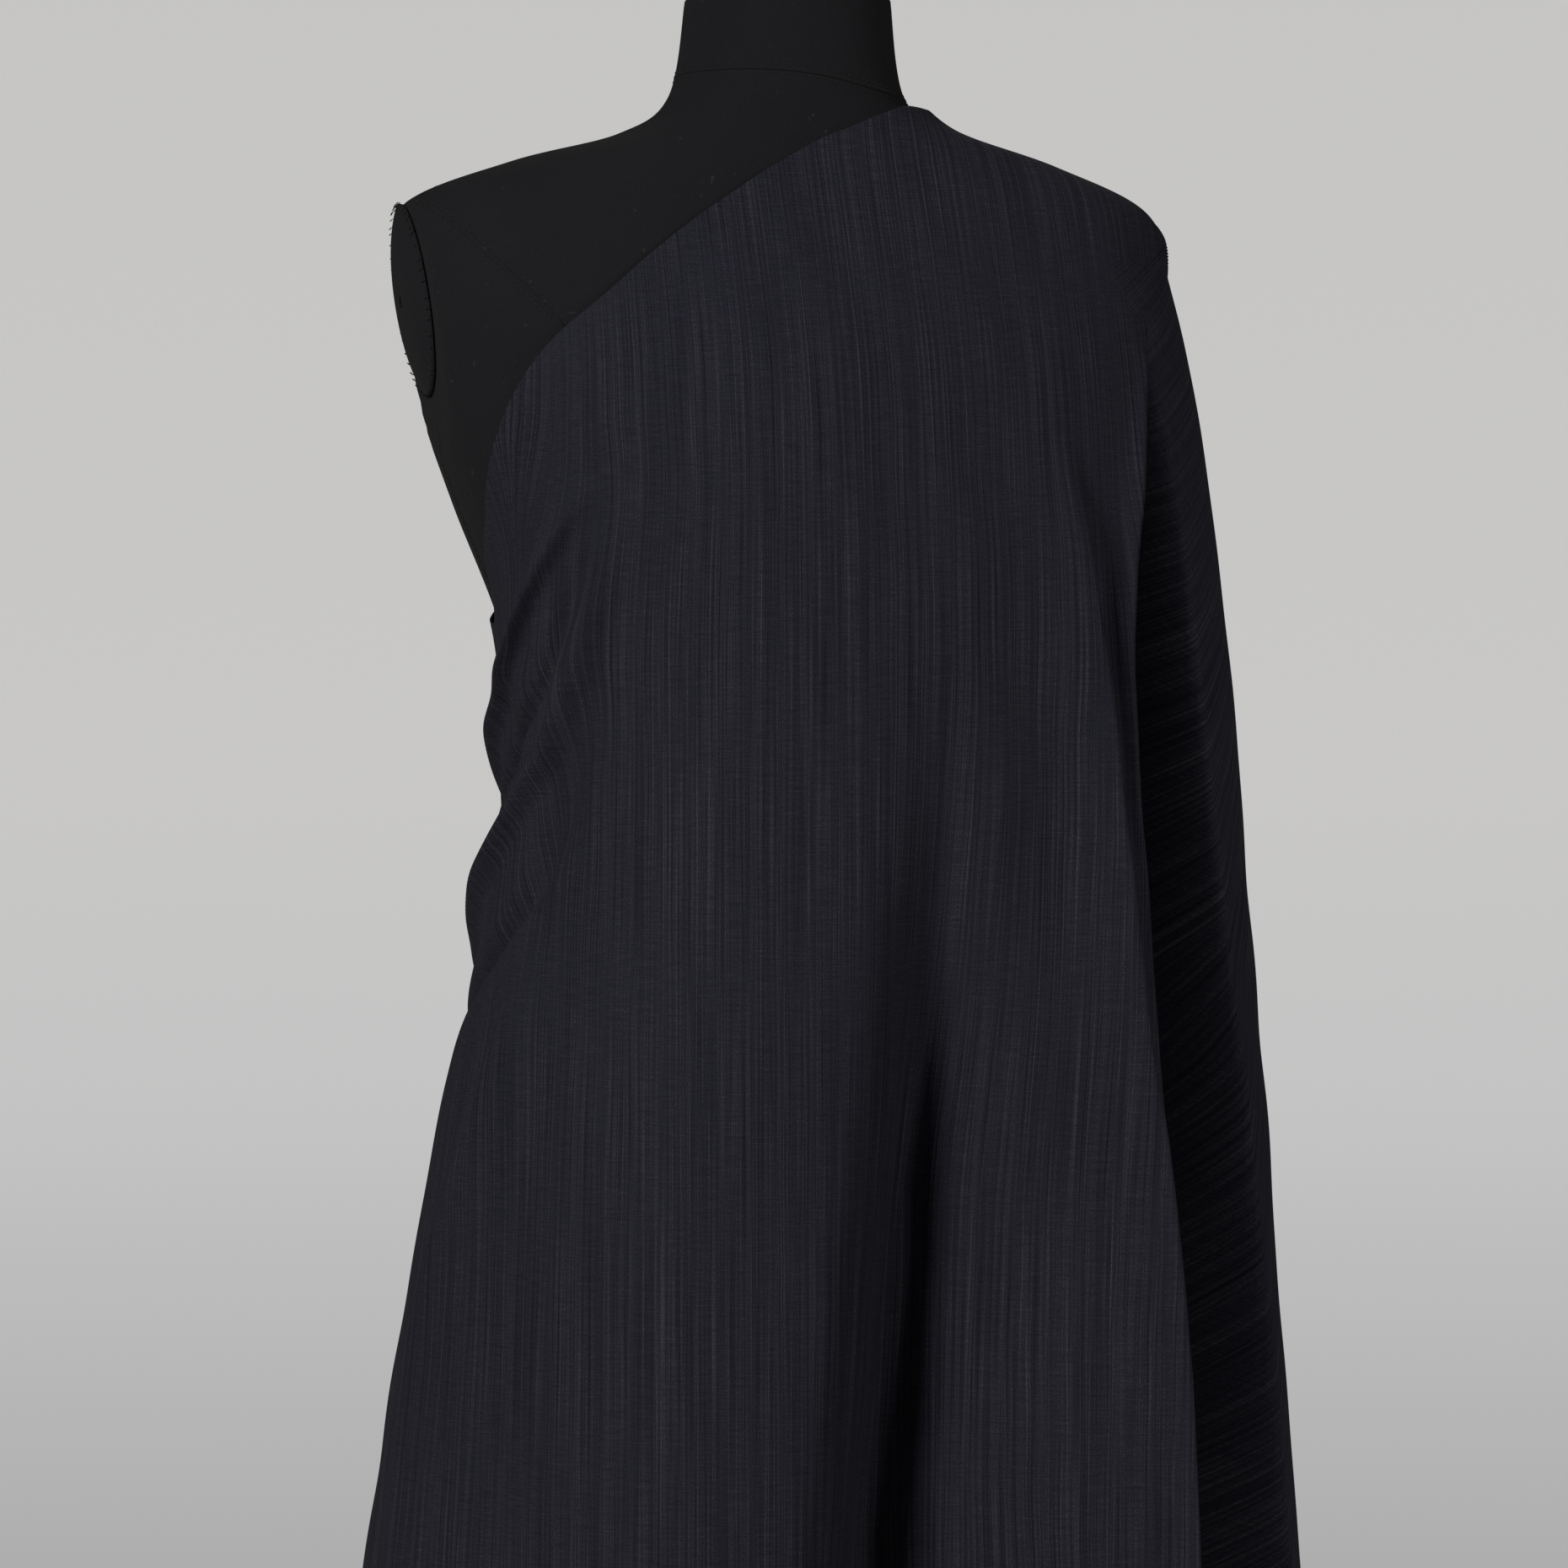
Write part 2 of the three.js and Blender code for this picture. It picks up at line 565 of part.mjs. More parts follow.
function addCloth() {
  const inner = offsetSurface(clothSurface, -CLOTH_THICKNESS);
  const cloth = wallBetween(clothSurface, inner, 0, 2 * Math.PI, CLOTH_COLUMNS, CLOTH_ROWS);
  place(dressForm, 'cloth_length', cloth, SUITING);
}

addTorso();
addArmPlates();
addNeck();
addSocket();
addColumn();
addClamp();
addBase();
addCloth();

export default dressForm;
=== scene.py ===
import json
import math

import bmesh
import bpy
import numpy as np
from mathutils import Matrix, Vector


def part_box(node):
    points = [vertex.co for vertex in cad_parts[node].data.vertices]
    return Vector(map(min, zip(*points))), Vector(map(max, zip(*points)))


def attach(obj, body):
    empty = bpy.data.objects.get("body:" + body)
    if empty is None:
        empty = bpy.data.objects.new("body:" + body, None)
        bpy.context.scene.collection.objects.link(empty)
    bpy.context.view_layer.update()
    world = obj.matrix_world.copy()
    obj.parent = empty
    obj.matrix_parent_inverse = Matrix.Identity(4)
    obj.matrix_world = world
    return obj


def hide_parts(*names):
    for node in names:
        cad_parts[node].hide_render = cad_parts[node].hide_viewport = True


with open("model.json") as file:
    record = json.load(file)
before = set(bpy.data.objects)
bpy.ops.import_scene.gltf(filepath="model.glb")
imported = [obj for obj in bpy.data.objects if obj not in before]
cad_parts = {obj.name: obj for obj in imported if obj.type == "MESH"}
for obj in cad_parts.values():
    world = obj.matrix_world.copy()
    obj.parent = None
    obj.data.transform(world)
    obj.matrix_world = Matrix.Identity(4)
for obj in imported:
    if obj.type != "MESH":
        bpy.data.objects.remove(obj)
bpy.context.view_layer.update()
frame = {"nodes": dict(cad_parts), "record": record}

MM = 0.001

# ---------------------------------------------------------------- sizes
CAMERA_TURN = -15.0  # degrees round the pole from straight in front
CAMERA_DISTANCE = 2.8
CAMERA_HEIGHT = 1.094
CAMERA_ASIDE = 0.004
LENS = 130.0
SENSOR = 36.0

SECTION_POWER = 2.2
COVER_RISE = 1.2 * MM  # the jersey's outer face above the bare torso
COVER_THICKNESS = 0.9 * MM
SHELL_SINK = 0.4 * MM
SHELL_THICKNESS = 3.4 * MM
SHELL_GAP = 0.004  # radians between each shell's edge and the joint of the two halves
CLOTH_THICKNESS = 0.7 * MM
CLOTH_CLEARANCE = 3.6 * MM
# the flat cut at the end of each shoulder: height, distance from the middle; it ends at the foot
ARM_CUT_LOW = (1282, 172)
ARM_CUT_HIGH = (1377, 187)
ARM_CUT_FOOT = 1.222
ARM_CUT_SLOPE = (ARM_CUT_HIGH[1] - ARM_CUT_LOW[1]) / (ARM_CUT_HIGH[0] - ARM_CUT_LOW[0])
ARM_COVER_HALF_DEPTH = 34 * MM
ARM_COVER_HALF_HEIGHT = 47 * MM
ARM_COVER_DISH = 6.4 * MM
ARM_STITCHES = 46

SEAM_HALF_WIDTH = 1.1 * MM
SEAM_HEIGHT = 0.35 * MM
STITCH_ASIDE = 2.3 * MM
STITCH_SPACING = 3.4 * MM
STITCH_LENGTH = 2.5 * MM
STITCH_RADIUS = 0.26 * MM

# turned pieces, in millimetres
NECK_CENTRE_Y = -22
CAP_SEAT = 1478
CAP_SQUEEZE = 48 / 51  # the neck is a little shallower than it is wide
EASED_EDGE = 0.7 * MM

# body sections from the bottom up: height, half width on the form's right and left, where the middle is
# from front to back, depth in front and behind
TORSO_SECTIONS = np.array([
    (780, 158, 158, 0, 96, 114),
    (850, 163, 163, 0, 100, 122),
    (930, 155, 155, 0, 98, 116),
    (1010, 136, 136, 0, 92, 98),
    (1095, 122, 122, 0, 86, 84),
    (1165, 134, 134, 0, 100, 90),
    (1232, 160, 160, 0, 126, 99),
    (1290, 181, 181, -2, 117, 104),
    (1343, 195, 195, -4, 95, 102),
    (1374, 188, 188, -8, 76, 88),
    (1395, 138, 138, -12, 63, 74),
    (1410, 84, 84, -16, 55, 60),
    (1430, 57, 57, -19, 50, 49),
    (1477.4, 49, 49, -22, 46, 46),
]) * MM
CLOTH_SECTIONS = np.array([
    (350, 255, 300, 0, 206, 210),
    (530, 228, 283, 0, 194, 197),
    (706, 203, 264, 0, 180, 178),
    (815, 187, 256, 0, 171, 164),
    (930, 167, 248, 0, 159, 143),
    (1020, 147, 241, 0, 149, 120),
    (1106, 135, 235, 0, 141, 108),
    (1173, 142, 228, 0, 137, 108),
    (1235, 166, 220, 0, 134, 108),
    (1292, 186, 210, -2, 124, 110),
    (1345, 199, 199, -4, 101, 108),
    (1378, 190, 188, -8, 81, 93),
    (1399, 141, 141, -12, 67, 78),
    (1415, 87, 87, -16, 59, 65),
    (1434, 60, 61, -19, 54, 53),
]) * MM
SHOULDER_TIP = 1.362
TIP_OVERLAP = 0.004  # height above the tip at which the front and rear layers have met
CREST = -8.0  # degrees: where the cloth lies over the crest of the shoulder

HEM = 0.35

# the cloth's upper edge across the front: distance across the view, height
UPPER_EDGE = [(-150, 1160), (-143, 1173), (-140.5, 1205), (-138, 1237), (-132, 1260), (-121, 1284),
              (-102, 1308), (-81, 1324), (-60, 1345), (-36, 1365), (-4.6, 1388), (16.7, 1402), (38, 1412),
              (53, 1419), (64, 1424)]
# the free edge of the front layer below the shoulder: height, distance across the view
FRONT_EDGE = [(350, 190), (706, 185), (821, 182), (882, 180.5), (942, 178), (983, 176), (1023, 173),
              (1072, 170), (1098, 168), (1172, 168), (1205, 171), (1231, 174.5), (1280, 179), (1320, 182),
              (1355, 186)]


def along(x, knots):
    """A smooth curve through given (x, value) knots, level beyond its ends."""
    xs, ys = np.array(sorted(knots), float).T
    slopes = np.gradient(ys, xs)
    i = np.clip(np.searchsorted(xs, x) - 1, 0, len(xs) - 2)
    h = xs[i + 1] - xs[i]
    t = np.clip((x - xs[i]) / h, 0, 1)
    a = (1 + 2 * t) * (1 - t) ** 2 * ys[i] + t * t * (3 - 2 * t) * ys[i + 1]
    return a + h * (t * (1 - t) ** 2 * slopes[i] + t * t * (t - 1) * slopes[i + 1])


def ease(t):
    """From 0 to 1 with no slope at either end."""
    t = np.clip(t, 0, 1)
    return t * t * (3 - 2 * t)


def section_at(sections, s):
    """A smooth section between the listed ones, at station s, which counts them from the bottom."""
    last = len(sections) - 1
    i = np.clip(np.floor(s).astype(int), 0, last - 1)
    t = (s - i)[..., None]
    before, start = sections[np.maximum(i - 1, 0)], sections[i]
    end, after = sections[i + 1], sections[np.minimum(i + 2, last)]
    rise, fall = (end - before) / 2, (after - start) / 2
    bend = t * (1 - t) ** 2 * rise + t * t * (t - 1) * fall
    return start + (end - start) * t * t * (3 - 2 * t) + bend


def ring_point(sections, s, angle):
    """A point on the body section at station s, in the direction of angle, in radians from +X."""
    section = section_at(sections, s)
    c, d = np.cos(angle), np.sin(angle)
    width = np.where(c < 0, section[..., 1], section[..., 2])
    depth = np.where(d < 0, section[..., 4], section[..., 5])
    term = np.abs(c / width) ** SECTION_POWER + np.abs(d / depth) ** SECTION_POWER
    reach = term ** (-1 / SECTION_POWER)
    return np.stack([reach * c, section[..., 3] + reach * d, section[..., 0]], -1)


def torso_point(s, angle):
    point = ring_point(TORSO_SECTIONS, s, angle)
    cut = ARM_CUT_LOW[1] * MM + ARM_CUT_SLOPE * (point[..., 2] - ARM_CUT_LOW[0] * MM)
    cut = np.where(point[..., 2] < ARM_CUT_FOOT, 1.0, cut)
    point[..., 0] = np.clip(point[..., 0], -cut, cut)
    return point


def outward(surface, s, angle, top):
    """The unit normal of a surface, where top is its last station."""
    step = 1e-3
    around = surface(s, angle + step) - surface(s, angle - step)
    up = surface(np.minimum(s + step, top), angle) - surface(np.maximum(s - step, 0), angle)
    normal = np.cross(around, up)
    return normal / np.linalg.norm(normal, axis=-1, keepdims=True)


TURN = math.radians(CAMERA_TURN)


def across(point):
    """How far a point lies to the right as the camera sees it, in metres."""
    return point[..., 0] * math.cos(TURN) + point[..., 1] * math.sin(TURN)


# ---------------------------------------------------------------- mesh building
def mesh_piece(name, points, faces, uvs=None, smooth=True):
    mesh = bpy.data.meshes.new(name)
    mesh.from_pydata([tuple(p) for p in points], [], faces)
    if uvs is not None:
        layer = mesh.uv_layers.new(name="cut")
        corners = np.array([loop.vertex_index for loop in mesh.loops])
        layer.data.foreach_set("uv", np.asarray(uvs, np.float32)[corners].ravel())
    mesh.polygons.foreach_set("use_smooth", [smooth] * len(mesh.polygons))
    mesh.update()
    piece = bpy.data.objects.new(name, mesh)
    bpy.context.scene.collection.objects.link(piece)
    return piece


def grid_faces(rows, columns, closed=False):
    faces = []
    span = columns if closed else columns - 1
    for j in range(rows - 1):
        for i in range(span):
            a, b = j * columns + i, j * columns + (i + 1) % columns
            faces.append((a, b, b + columns, a + columns))
    return faces


def thicken(piece, thickness):
    """Give a surface a wall, inwards from its outer face."""
    wall = piece.modifiers.new("wall", "SOLIDIFY")
    wall.thickness = thickness
    wall.offset = -1
    wall.use_even_offset = False


def dress(piece, material, body):
    piece.data.materials.clear()
    piece.data.materials.append(material)
    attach(piece, body)


# ---------------------------------------------------------------- material helpers
def new_material(name):
    material = bpy.data.materials.new(name)
    material.use_nodes = True
    nodes = material.node_tree.nodes
    return material, nodes, material.node_tree.links, nodes["Principled BSDF"]


def ramp(nodes, stops):
    """A colour ramp through (position, colour) stops."""
    node = nodes.new("ShaderNodeValToRGB")
    elements = node.color_ramp.elements
    for end in (0, -1):
        elements[end].position, elements[end].color = stops[end][0], (*stops[end][1], 1)
    for position, color in stops[1:-1]:
        elements.new(position).color = (*color, 1)
    return node


def scaled_noise(nodes, links, source, scale, detail=2.0, roughness=0.5):
    """Noise whose grain is stretched by a different scale along each axis of source."""
    mapping = nodes.new("ShaderNodeMapping")
    mapping.inputs["Scale"].default_value = scale
    links.new(source, mapping.inputs["Vector"])
    noise = nodes.new("ShaderNodeTexNoise")
    noise.inputs["Scale"].default_value = 1.0
    noise.inputs["Detail"].default_value = detail
    noise.inputs["Roughness"].default_value = roughness
    links.new(mapping.outputs["Vector"], noise.inputs["Vector"])
    return noise.outputs["Fac"]


def blend_math(nodes, links, operation, a, b):
    node = nodes.new("ShaderNodeMath")
    node.operation = operation
    for socket, value in zip(node.inputs, (a, b)):
        if isinstance(value, (int, float)):
            socket.default_value = value
        else:
            links.new(value, socket)
    return node.outputs["Value"]


def bump(nodes, links, height, distance, strength):
    node = nodes.new("ShaderNodeBump")
    node.inputs["Distance"].default_value = distance
    node.inputs["Strength"].default_value = strength
    links.new(height, node.inputs["Height"])
    return node.outputs["Normal"]


# ---------------------------------------------------------------- materials
def suiting_material():
    material, nodes, links, shader = new_material("worsted_suiting")
    cut = nodes.new("ShaderNodeUVMap")
    cut.uv_map = "cut"
    source = cut.outputs["UV"]
    threads = scaled_noise(nodes, links, source, (1500, 9, 1), 2.0, 0.6)
    stripes = scaled_noise(nodes, links, source, (900, 3, 1), 1.0, 0.5)
    bands = scaled_noise(nodes, links, source, (170, 1.6, 1), 1.0, 0.5)
    weft = scaled_noise(nodes, links, source, (70, 1450, 1), 2.0, 0.6)
    fleck = scaled_noise(nodes, links, source, (1700, 800, 1), 1.0, 0.6)
    total = blend_math(nodes, links, "MULTIPLY", threads, 0.36)
    for part, share in ((stripes, 0.20), (bands, 0.05), (weft, 0.17), (fleck, 0.20)):
        total = blend_math(nodes, links, "ADD", total, blend_math(nodes, links, "MULTIPLY", part, share))
    tone = ramp(nodes, [
        (0.37, (0.0050, 0.0050, 0.0085)),
        (0.46, (0.0130, 0.0130, 0.0205)),
        (0.52, (0.0200, 0.0196, 0.0285)),
        (0.58, (0.0360, 0.0340, 0.0410)),
        (0.66, (0.0700, 0.0630, 0.0620)),
    ])
    links.new(total, tone.inputs["Fac"])
    links.new(tone.outputs["Color"], shader.inputs["Base Color"])
    rough = nodes.new("ShaderNodeMapRange")
    rough.inputs["To Min"].default_value = 0.74
    rough.inputs["To Max"].default_value = 0.9
    links.new(total, rough.inputs["Value"])
    links.new(rough.outputs["Result"], shader.inputs["Roughness"])
    links.new(bump(nodes, links, total, 0.0009, 0.35), shader.inputs["Normal"])
    shader.inputs["Sheen Weight"].default_value = 0.02
    shader.inputs["Sheen Roughness"].default_value = 0.45
    shader.inputs["Specular IOR Level"].default_value = 0.12
    return material


def jersey_material():
    material, nodes, links, shader = new_material("black_jersey")
    place = nodes.new("ShaderNodeTexCoord").outputs["Object"]
    knit = scaled_noise(nodes, links, place, (1700, 1700, 900), 1.0, 0.5)
    cloudy = scaled_noise(nodes, links, place, (9, 9, 7), 3.0, 0.6)
    lint = scaled_noise(nodes, links, place, (260, 260, 260), 1.0, 0.4)
    tone = ramp(nodes, [(0.25, (0.0080, 0.0080, 0.0094)), (0.75, (0.0150, 0.0150, 0.0168))])
    mixed = blend_math(nodes, links, "ADD", blend_math(nodes, links, "MULTIPLY", knit, 0.5),
                       blend_math(nodes, links, "MULTIPLY", cloudy, 0.5))
    links.new(mixed, tone.inputs["Fac"])
    specks = nodes.new("ShaderNodeMapRange")
    specks.inputs["From Min"].default_value = 0.74
    specks.inputs["From Max"].default_value = 0.80
    links.new(lint, specks.inputs["Value"])
    color = nodes.new("ShaderNodeMix")
    color.data_type = "RGBA"
    links.new(specks.outputs["Result"], color.inputs["Factor"])
    links.new(tone.outputs["Color"], color.inputs[6])
    color.inputs[7].default_value = (0.026, 0.026, 0.027, 1)
    links.new(color.outputs[2], shader.inputs["Base Color"])
    links.new(bump(nodes, links, knit, 0.0005, 0.4), shader.inputs["Normal"])
    shader.inputs["Roughness"].default_value = 0.9
    shader.inputs["Sheen Weight"].default_value = 0.02
    shader.inputs["Specular IOR Level"].default_value = 0.12
    return material


def surface_grain():
    """Coarse and fine grain together, as a mask and as relief, shared by every plain finish."""
    group = bpy.data.node_groups.new("surface_grain", "ShaderNodeTree")
    for name, way, kind in (("Scale", "INPUT", "NodeSocketVector"), ("Relief", "INPUT", "NodeSocketFloat"),
                            ("Grain", "OUTPUT", "NodeSocketFloat"), ("Normal", "OUTPUT", "NodeSocketVector")):
        group.interface.new_socket(name, in_out=way, socket_type=kind)
    nodes, links = group.nodes, group.links
    given, result = nodes.new("NodeGroupInput"), nodes.new("NodeGroupOutput")
    stretched = nodes.new("ShaderNodeVectorMath")
    stretched.operation = "MULTIPLY"
    links.new(nodes.new("ShaderNodeTexCoord").outputs["Object"], stretched.inputs[0])
    links.new(given.outputs["Scale"], stretched.inputs[1])
    figure = scaled_noise(nodes, links, stretched.outputs["Vector"], (1, 1, 1), 4.0, 0.6)
    fine = scaled_noise(nodes, links, stretched.outputs["Vector"], (8, 8, 8), 2.0, 0.6)
    mixed = blend_math(nodes, links, "ADD", blend_math(nodes, links, "MULTIPLY", figure, 0.7),
                       blend_math(nodes, links, "MULTIPLY", fine, 0.3))
    links.new(mixed, result.inputs["Grain"])
    relief = nodes.new("ShaderNodeBump")
    relief.inputs["Strength"].default_value = 0.5
    links.new(given.outputs["Relief"], relief.inputs["Distance"])
    links.new(mixed, relief.inputs["Height"])
    links.new(relief.outputs["Normal"], result.inputs["Normal"])
    return group


SURFACE_GRAIN = surface_grain()


def plain_material(name, dark, light, roughness, metallic=0.0, grain=(40, 40, 40), relief=0.2 * MM,
                   coat=0.0):
    """A finish with its colour and roughness varied by a grain, whose scale along each axis is given."""
    material, nodes, links, shader = new_material(name)
    surface = nodes.new("ShaderNodeGroup")
    surface.node_tree = SURFACE_GRAIN
    surface.inputs["Scale"].default_value = grain
    surface.inputs["Relief"].default_value = relief
    tone = ramp(nodes, [(0.35, dark), (0.65, light)])
    links.new(surface.outputs["Grain"], tone.inputs["Fac"])
    links.new(tone.outputs["Color"], shader.inputs["Base Color"])
    rough = nodes.new("ShaderNodeMapRange")
    rough.inputs["To Min"].default_value = roughness - 0.08
    rough.inputs["To Max"].default_value = roughness + 0.08
    links.new(surface.outputs["Grain"], rough.inputs["Value"])
    links.new(rough.outputs["Result"], shader.inputs["Roughness"])
    links.new(surface.outputs["Normal"], shader.inputs["Normal"])
    shader.inputs["Metallic"].default_value = metallic
    shader.inputs["Coat Weight"].default_value = coat
    return material


SUITING = suiting_material()
JERSEY = jersey_material()
THREAD = plain_material("black_thread", (0.003, 0.003, 0.003), (0.007, 0.007, 0.007), 0.85,
                        grain=(900, 900, 900))
DARK_WOOD = plain_material("stained_wood", (0.035, 0.022, 0.013), (0.085, 0.058, 0.036), 0.42,
                           grain=(60, 60, 8), coat=0.25)
PLYWOOD = plain_material("birch_ply", (0.30, 0.20, 0.11), (0.46, 0.33, 0.20), 0.7, grain=(6, 90, 90))
SHELL_BOARD = plain_material("pressed_board", (0.19, 0.14, 0.09), (0.29, 0.23, 0.15), 0.9,
                             grain=(45, 45, 45))
BLACK_STEEL = plain_material("black_powder_coat", (0.010, 0.010, 0.011), (0.016, 0.016, 0.017), 0.45,
                             grain=(500, 500, 500), relief=0.0001)
BRIGHT_STEEL = plain_material("bright_steel", (0.50, 0.50, 0.51), (0.66, 0.66, 0.66), 0.22, 1.0,
                              grain=(600, 600, 4), relief=0.00003)
SCREW_STEEL = plain_material("screw_steel", (0.30, 0.30, 0.31), (0.46, 0.46, 0.46), 0.36, 1.0,
                             grain=(300, 300, 300))
BRONZE = plain_material("bronze", (0.30, 0.18, 0.07), (0.45, 0.29, 0.12), 0.35, 1.0, grain=(200, 200, 200))
BLACK_PLASTIC = plain_material("black_plastic", (0.010, 0.010, 0.010), (0.018, 0.018, 0.018), 0.5,
                               grain=(700, 700, 700), relief=0.0001)
RUBBER = plain_material("black_rubber", (0.009, 0.009, 0.009), (0.016, 0.016, 0.016), 0.8,
                        grain=(300, 300, 300))
BY_SLOT = {
    "suiting": SUITING, "jersey": JERSEY, "dark_wood": DARK_WOOD, "plywood": PLYWOOD,
    "shell_board": SHELL_BOARD, "black_steel": BLACK_STEEL, "base_iron": BLACK_STEEL,
    "bright_steel": BRIGHT_STEEL, "screw_steel": SCREW_STEEL, "bronze": BRONZE,
    "black_plastic": BLACK_PLASTIC, "rubber": RUBBER,
}
for part in frame["record"]["subparts"]:
    node = frame["nodes"][part["node"]]
    node.data.materials.clear()
    node.data.materials.append(BY_SLOT[part["material_slot"]])
    node.data.polygons.foreach_set("use_smooth", [True] * len(node.data.polygons))
    node.data.set_sharp_from_angle(angle=math.radians(40))


# ---------------------------------------------------------------- torso
def build_torso():
    rows, columns = 240, 220
    top = len(TORSO_SECTIONS) - 1
    angle = np.linspace(0, 2 * math.pi, columns, endpoint=False)[None, :].repeat(rows, 0)
    s = np.linspace(0, top, rows)[:, None].repeat(columns, 1)
    points = torso_point(s, angle) + COVER_RISE * outward(torso_point, s, angle, top)
    # the jersey turns in over the top of the neck, under the cap
    neck = points[-1].mean(0)
    turned_in = [neck + (points[-1] - neck) * share for share in (0.98, 0.8, 0.62)]
    points = np.concatenate([points, turned_in])
    cover = mesh_piece("torso_cover", points.reshape(-1, 3), grid_faces(len(points), columns, closed=True))
    thicken(cover, COVER_THICKNESS)
    dress(cover, JERSEY, "form")
    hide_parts("jersey_cover")


def build_shells():
    rows, columns = 120, 110
    top = len(TORSO_SECTIONS) - 1
    s = np.linspace(0, top, rows)[:, None].repeat(columns, 1)
    for half, start in (("front", -math.pi), ("back", 0.0)):
        angle = np.linspace(start + SHELL_GAP, start + math.pi - SHELL_GAP, columns)[None, :].repeat(rows, 0)
        points = torso_point(s, angle) - SHELL_SINK * outward(torso_point, s, angle, top)
        shell = mesh_piece("board_shell_" + half, points.reshape(-1, 3), grid_faces(rows, columns))
        thicken(shell, SHELL_THICKNESS)
        dress(shell, SHELL_BOARD, "form")
        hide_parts("torso_shell_" + half)


build_torso()
build_shells()

# seams on the cover: distance across the view, height
NECK_SEAM = [(-120, 1441), (-50.6, 1440.4), (-24.9, 1440), (-8.6, 1439.6), (7.8, 1438.7), (24, 1436.7),
             (40, 1433.3), (57, 1429.6), (120, 1429)]
PANEL_SEAM = [(-182, 1382), (-175, 1377.5), (-155, 1363), (-130.4, 1341), (-110, 1321), (-97.9, 1306.6),
              (-86, 1284), (-78, 1252), (-74, 1215), (-66, 1150), (-62, 1080), (-66, 1010), (-76, 930),
              (-82, 850), (-84, 784)]
TORSO_STATIONS = np.linspace(0, len(TORSO_SECTIONS) - 1, 900)


def torso_station(height):
    return np.interp(height, section_at(TORSO_SECTIONS, TORSO_STATIONS)[:, 0], TORSO_STATIONS)


def torso_skin(s, angle):
    """Points on the jersey's outer face, and its normals there."""
    normal = outward(torso_point, s, angle, len(TORSO_SECTIONS) - 1)
    return torso_point(s, angle) + COVER_RISE * normal, normal


def seam_bead(points, normals, half_width, height):
    """A low rounded ridge of cloth along a seam, as vertices and faces."""
    ring = 7
    verts = []
    ahead = np.gradient(points, axis=0)
    ahead /= np.linalg.norm(ahead, axis=1, keepdims=True)
    side = np.cross(ahead, normals)
    for k in range(ring):
        turn = math.pi * 2 * k / ring
        verts.append(points + side * half_width * math.cos(turn) + normals * height * math.sin(turn))
    verts = np.stack(verts, 1)
    faces = grid_faces(len(points), ring, closed=True)
    last = (len(points) - 1) * ring
    faces.append(tuple(range(ring))[::-1])
    faces.append(tuple(range(last, last + ring)))
    return verts.reshape(-1, 3), [face[::-1] for face in faces]


def stitch_row(points, normals, aside, spacing, length, radius, seed):
    """Short stitches lying along a line of points, each slightly out of true."""
    rng = np.random.default_rng(seed)
    steps = np.linalg.norm(np.diff(points, axis=0), axis=1)
    run = np.concatenate([[0], np.cumsum(steps)])
    verts, faces = [], []
    for at in np.arange(spacing / 2, run[-1] - spacing / 2, spacing):
        middle = np.array([np.interp(at, run, points[:, k]) for k in range(3)])
        ahead = np.array([np.interp(at + 0.5 * MM, run, points[:, k]) for k in range(3)]) - middle
        normal = np.array([np.interp(at, run, normals[:, k]) for k in range(3)])
        ahead /= np.linalg.norm(ahead)
        normal /= np.linalg.norm(normal)
        side = np.cross(ahead, normal)
        ahead = ahead + side * rng.normal(0, 0.12)
        half = length * rng.uniform(0.42, 0.56)
        centre = middle + side * (aside + rng.normal(0, 0.08 * MM))
        start = len(verts)
        for along_it, girth, sunk in ((-1, 0.35, 0.5), (-0.6, 1, 0), (0.6, 1, 0), (1, 0.35, 0.5)):
            for k in range(6):
                turn = math.pi * k / 3
                spread = side * math.cos(turn) + normal * math.sin(turn)
                verts.append(centre + ahead * half * along_it + spread * radius * girth
                             - normal * radius * sunk)
        for ring in range(3):
            for k in range(6):
                a, b = start + ring * 6 + k, start + ring * 6 + (k + 1) % 6
                faces.append((a, b, b + 6, a + 6))
        faces.append(tuple(start + k for k in range(5, -1, -1)))
        faces.append(tuple(start + 18 + k for k in range(6)))
    return verts, [face[::-1] for face in faces]


def sewn_line(name, s, angle, seed):
    """A seam's raised ridge with a row of stitches on either side of it."""
    points, normals = torso_skin(s, angle)
    bead = mesh_piece(name + "_ridge", *seam_bead(points, normals, SEAM_HALF_WIDTH, SEAM_HEIGHT))
    dress(bead, JERSEY, "form")
    rows = [stitch_row(points + normals * 0.12 * MM, normals, aside, STITCH_SPACING, STITCH_LENGTH,
                       STITCH_RADIUS, seed + k)
            for k, aside in enumerate((-STITCH_ASIDE, STITCH_ASIDE))]
    verts = rows[0][0] + rows[1][0]
    offset = len(rows[0][0])
    faces = rows[0][1] + [tuple(v + offset for v in face) for face in rows[1][1]]
    dress(mesh_piece(name + "_stitches", verts, faces), THREAD, "form")


def torso_angle(distance, height):
    """The direction at which the front of the torso reaches a distance across the view at a height."""
    angles = np.radians(np.linspace(-194, -16, 300))
    reach = across(torso_point(np.full(angles.shape, torso_station(height)), angles))
    return np.interp(distance, reach, angles)


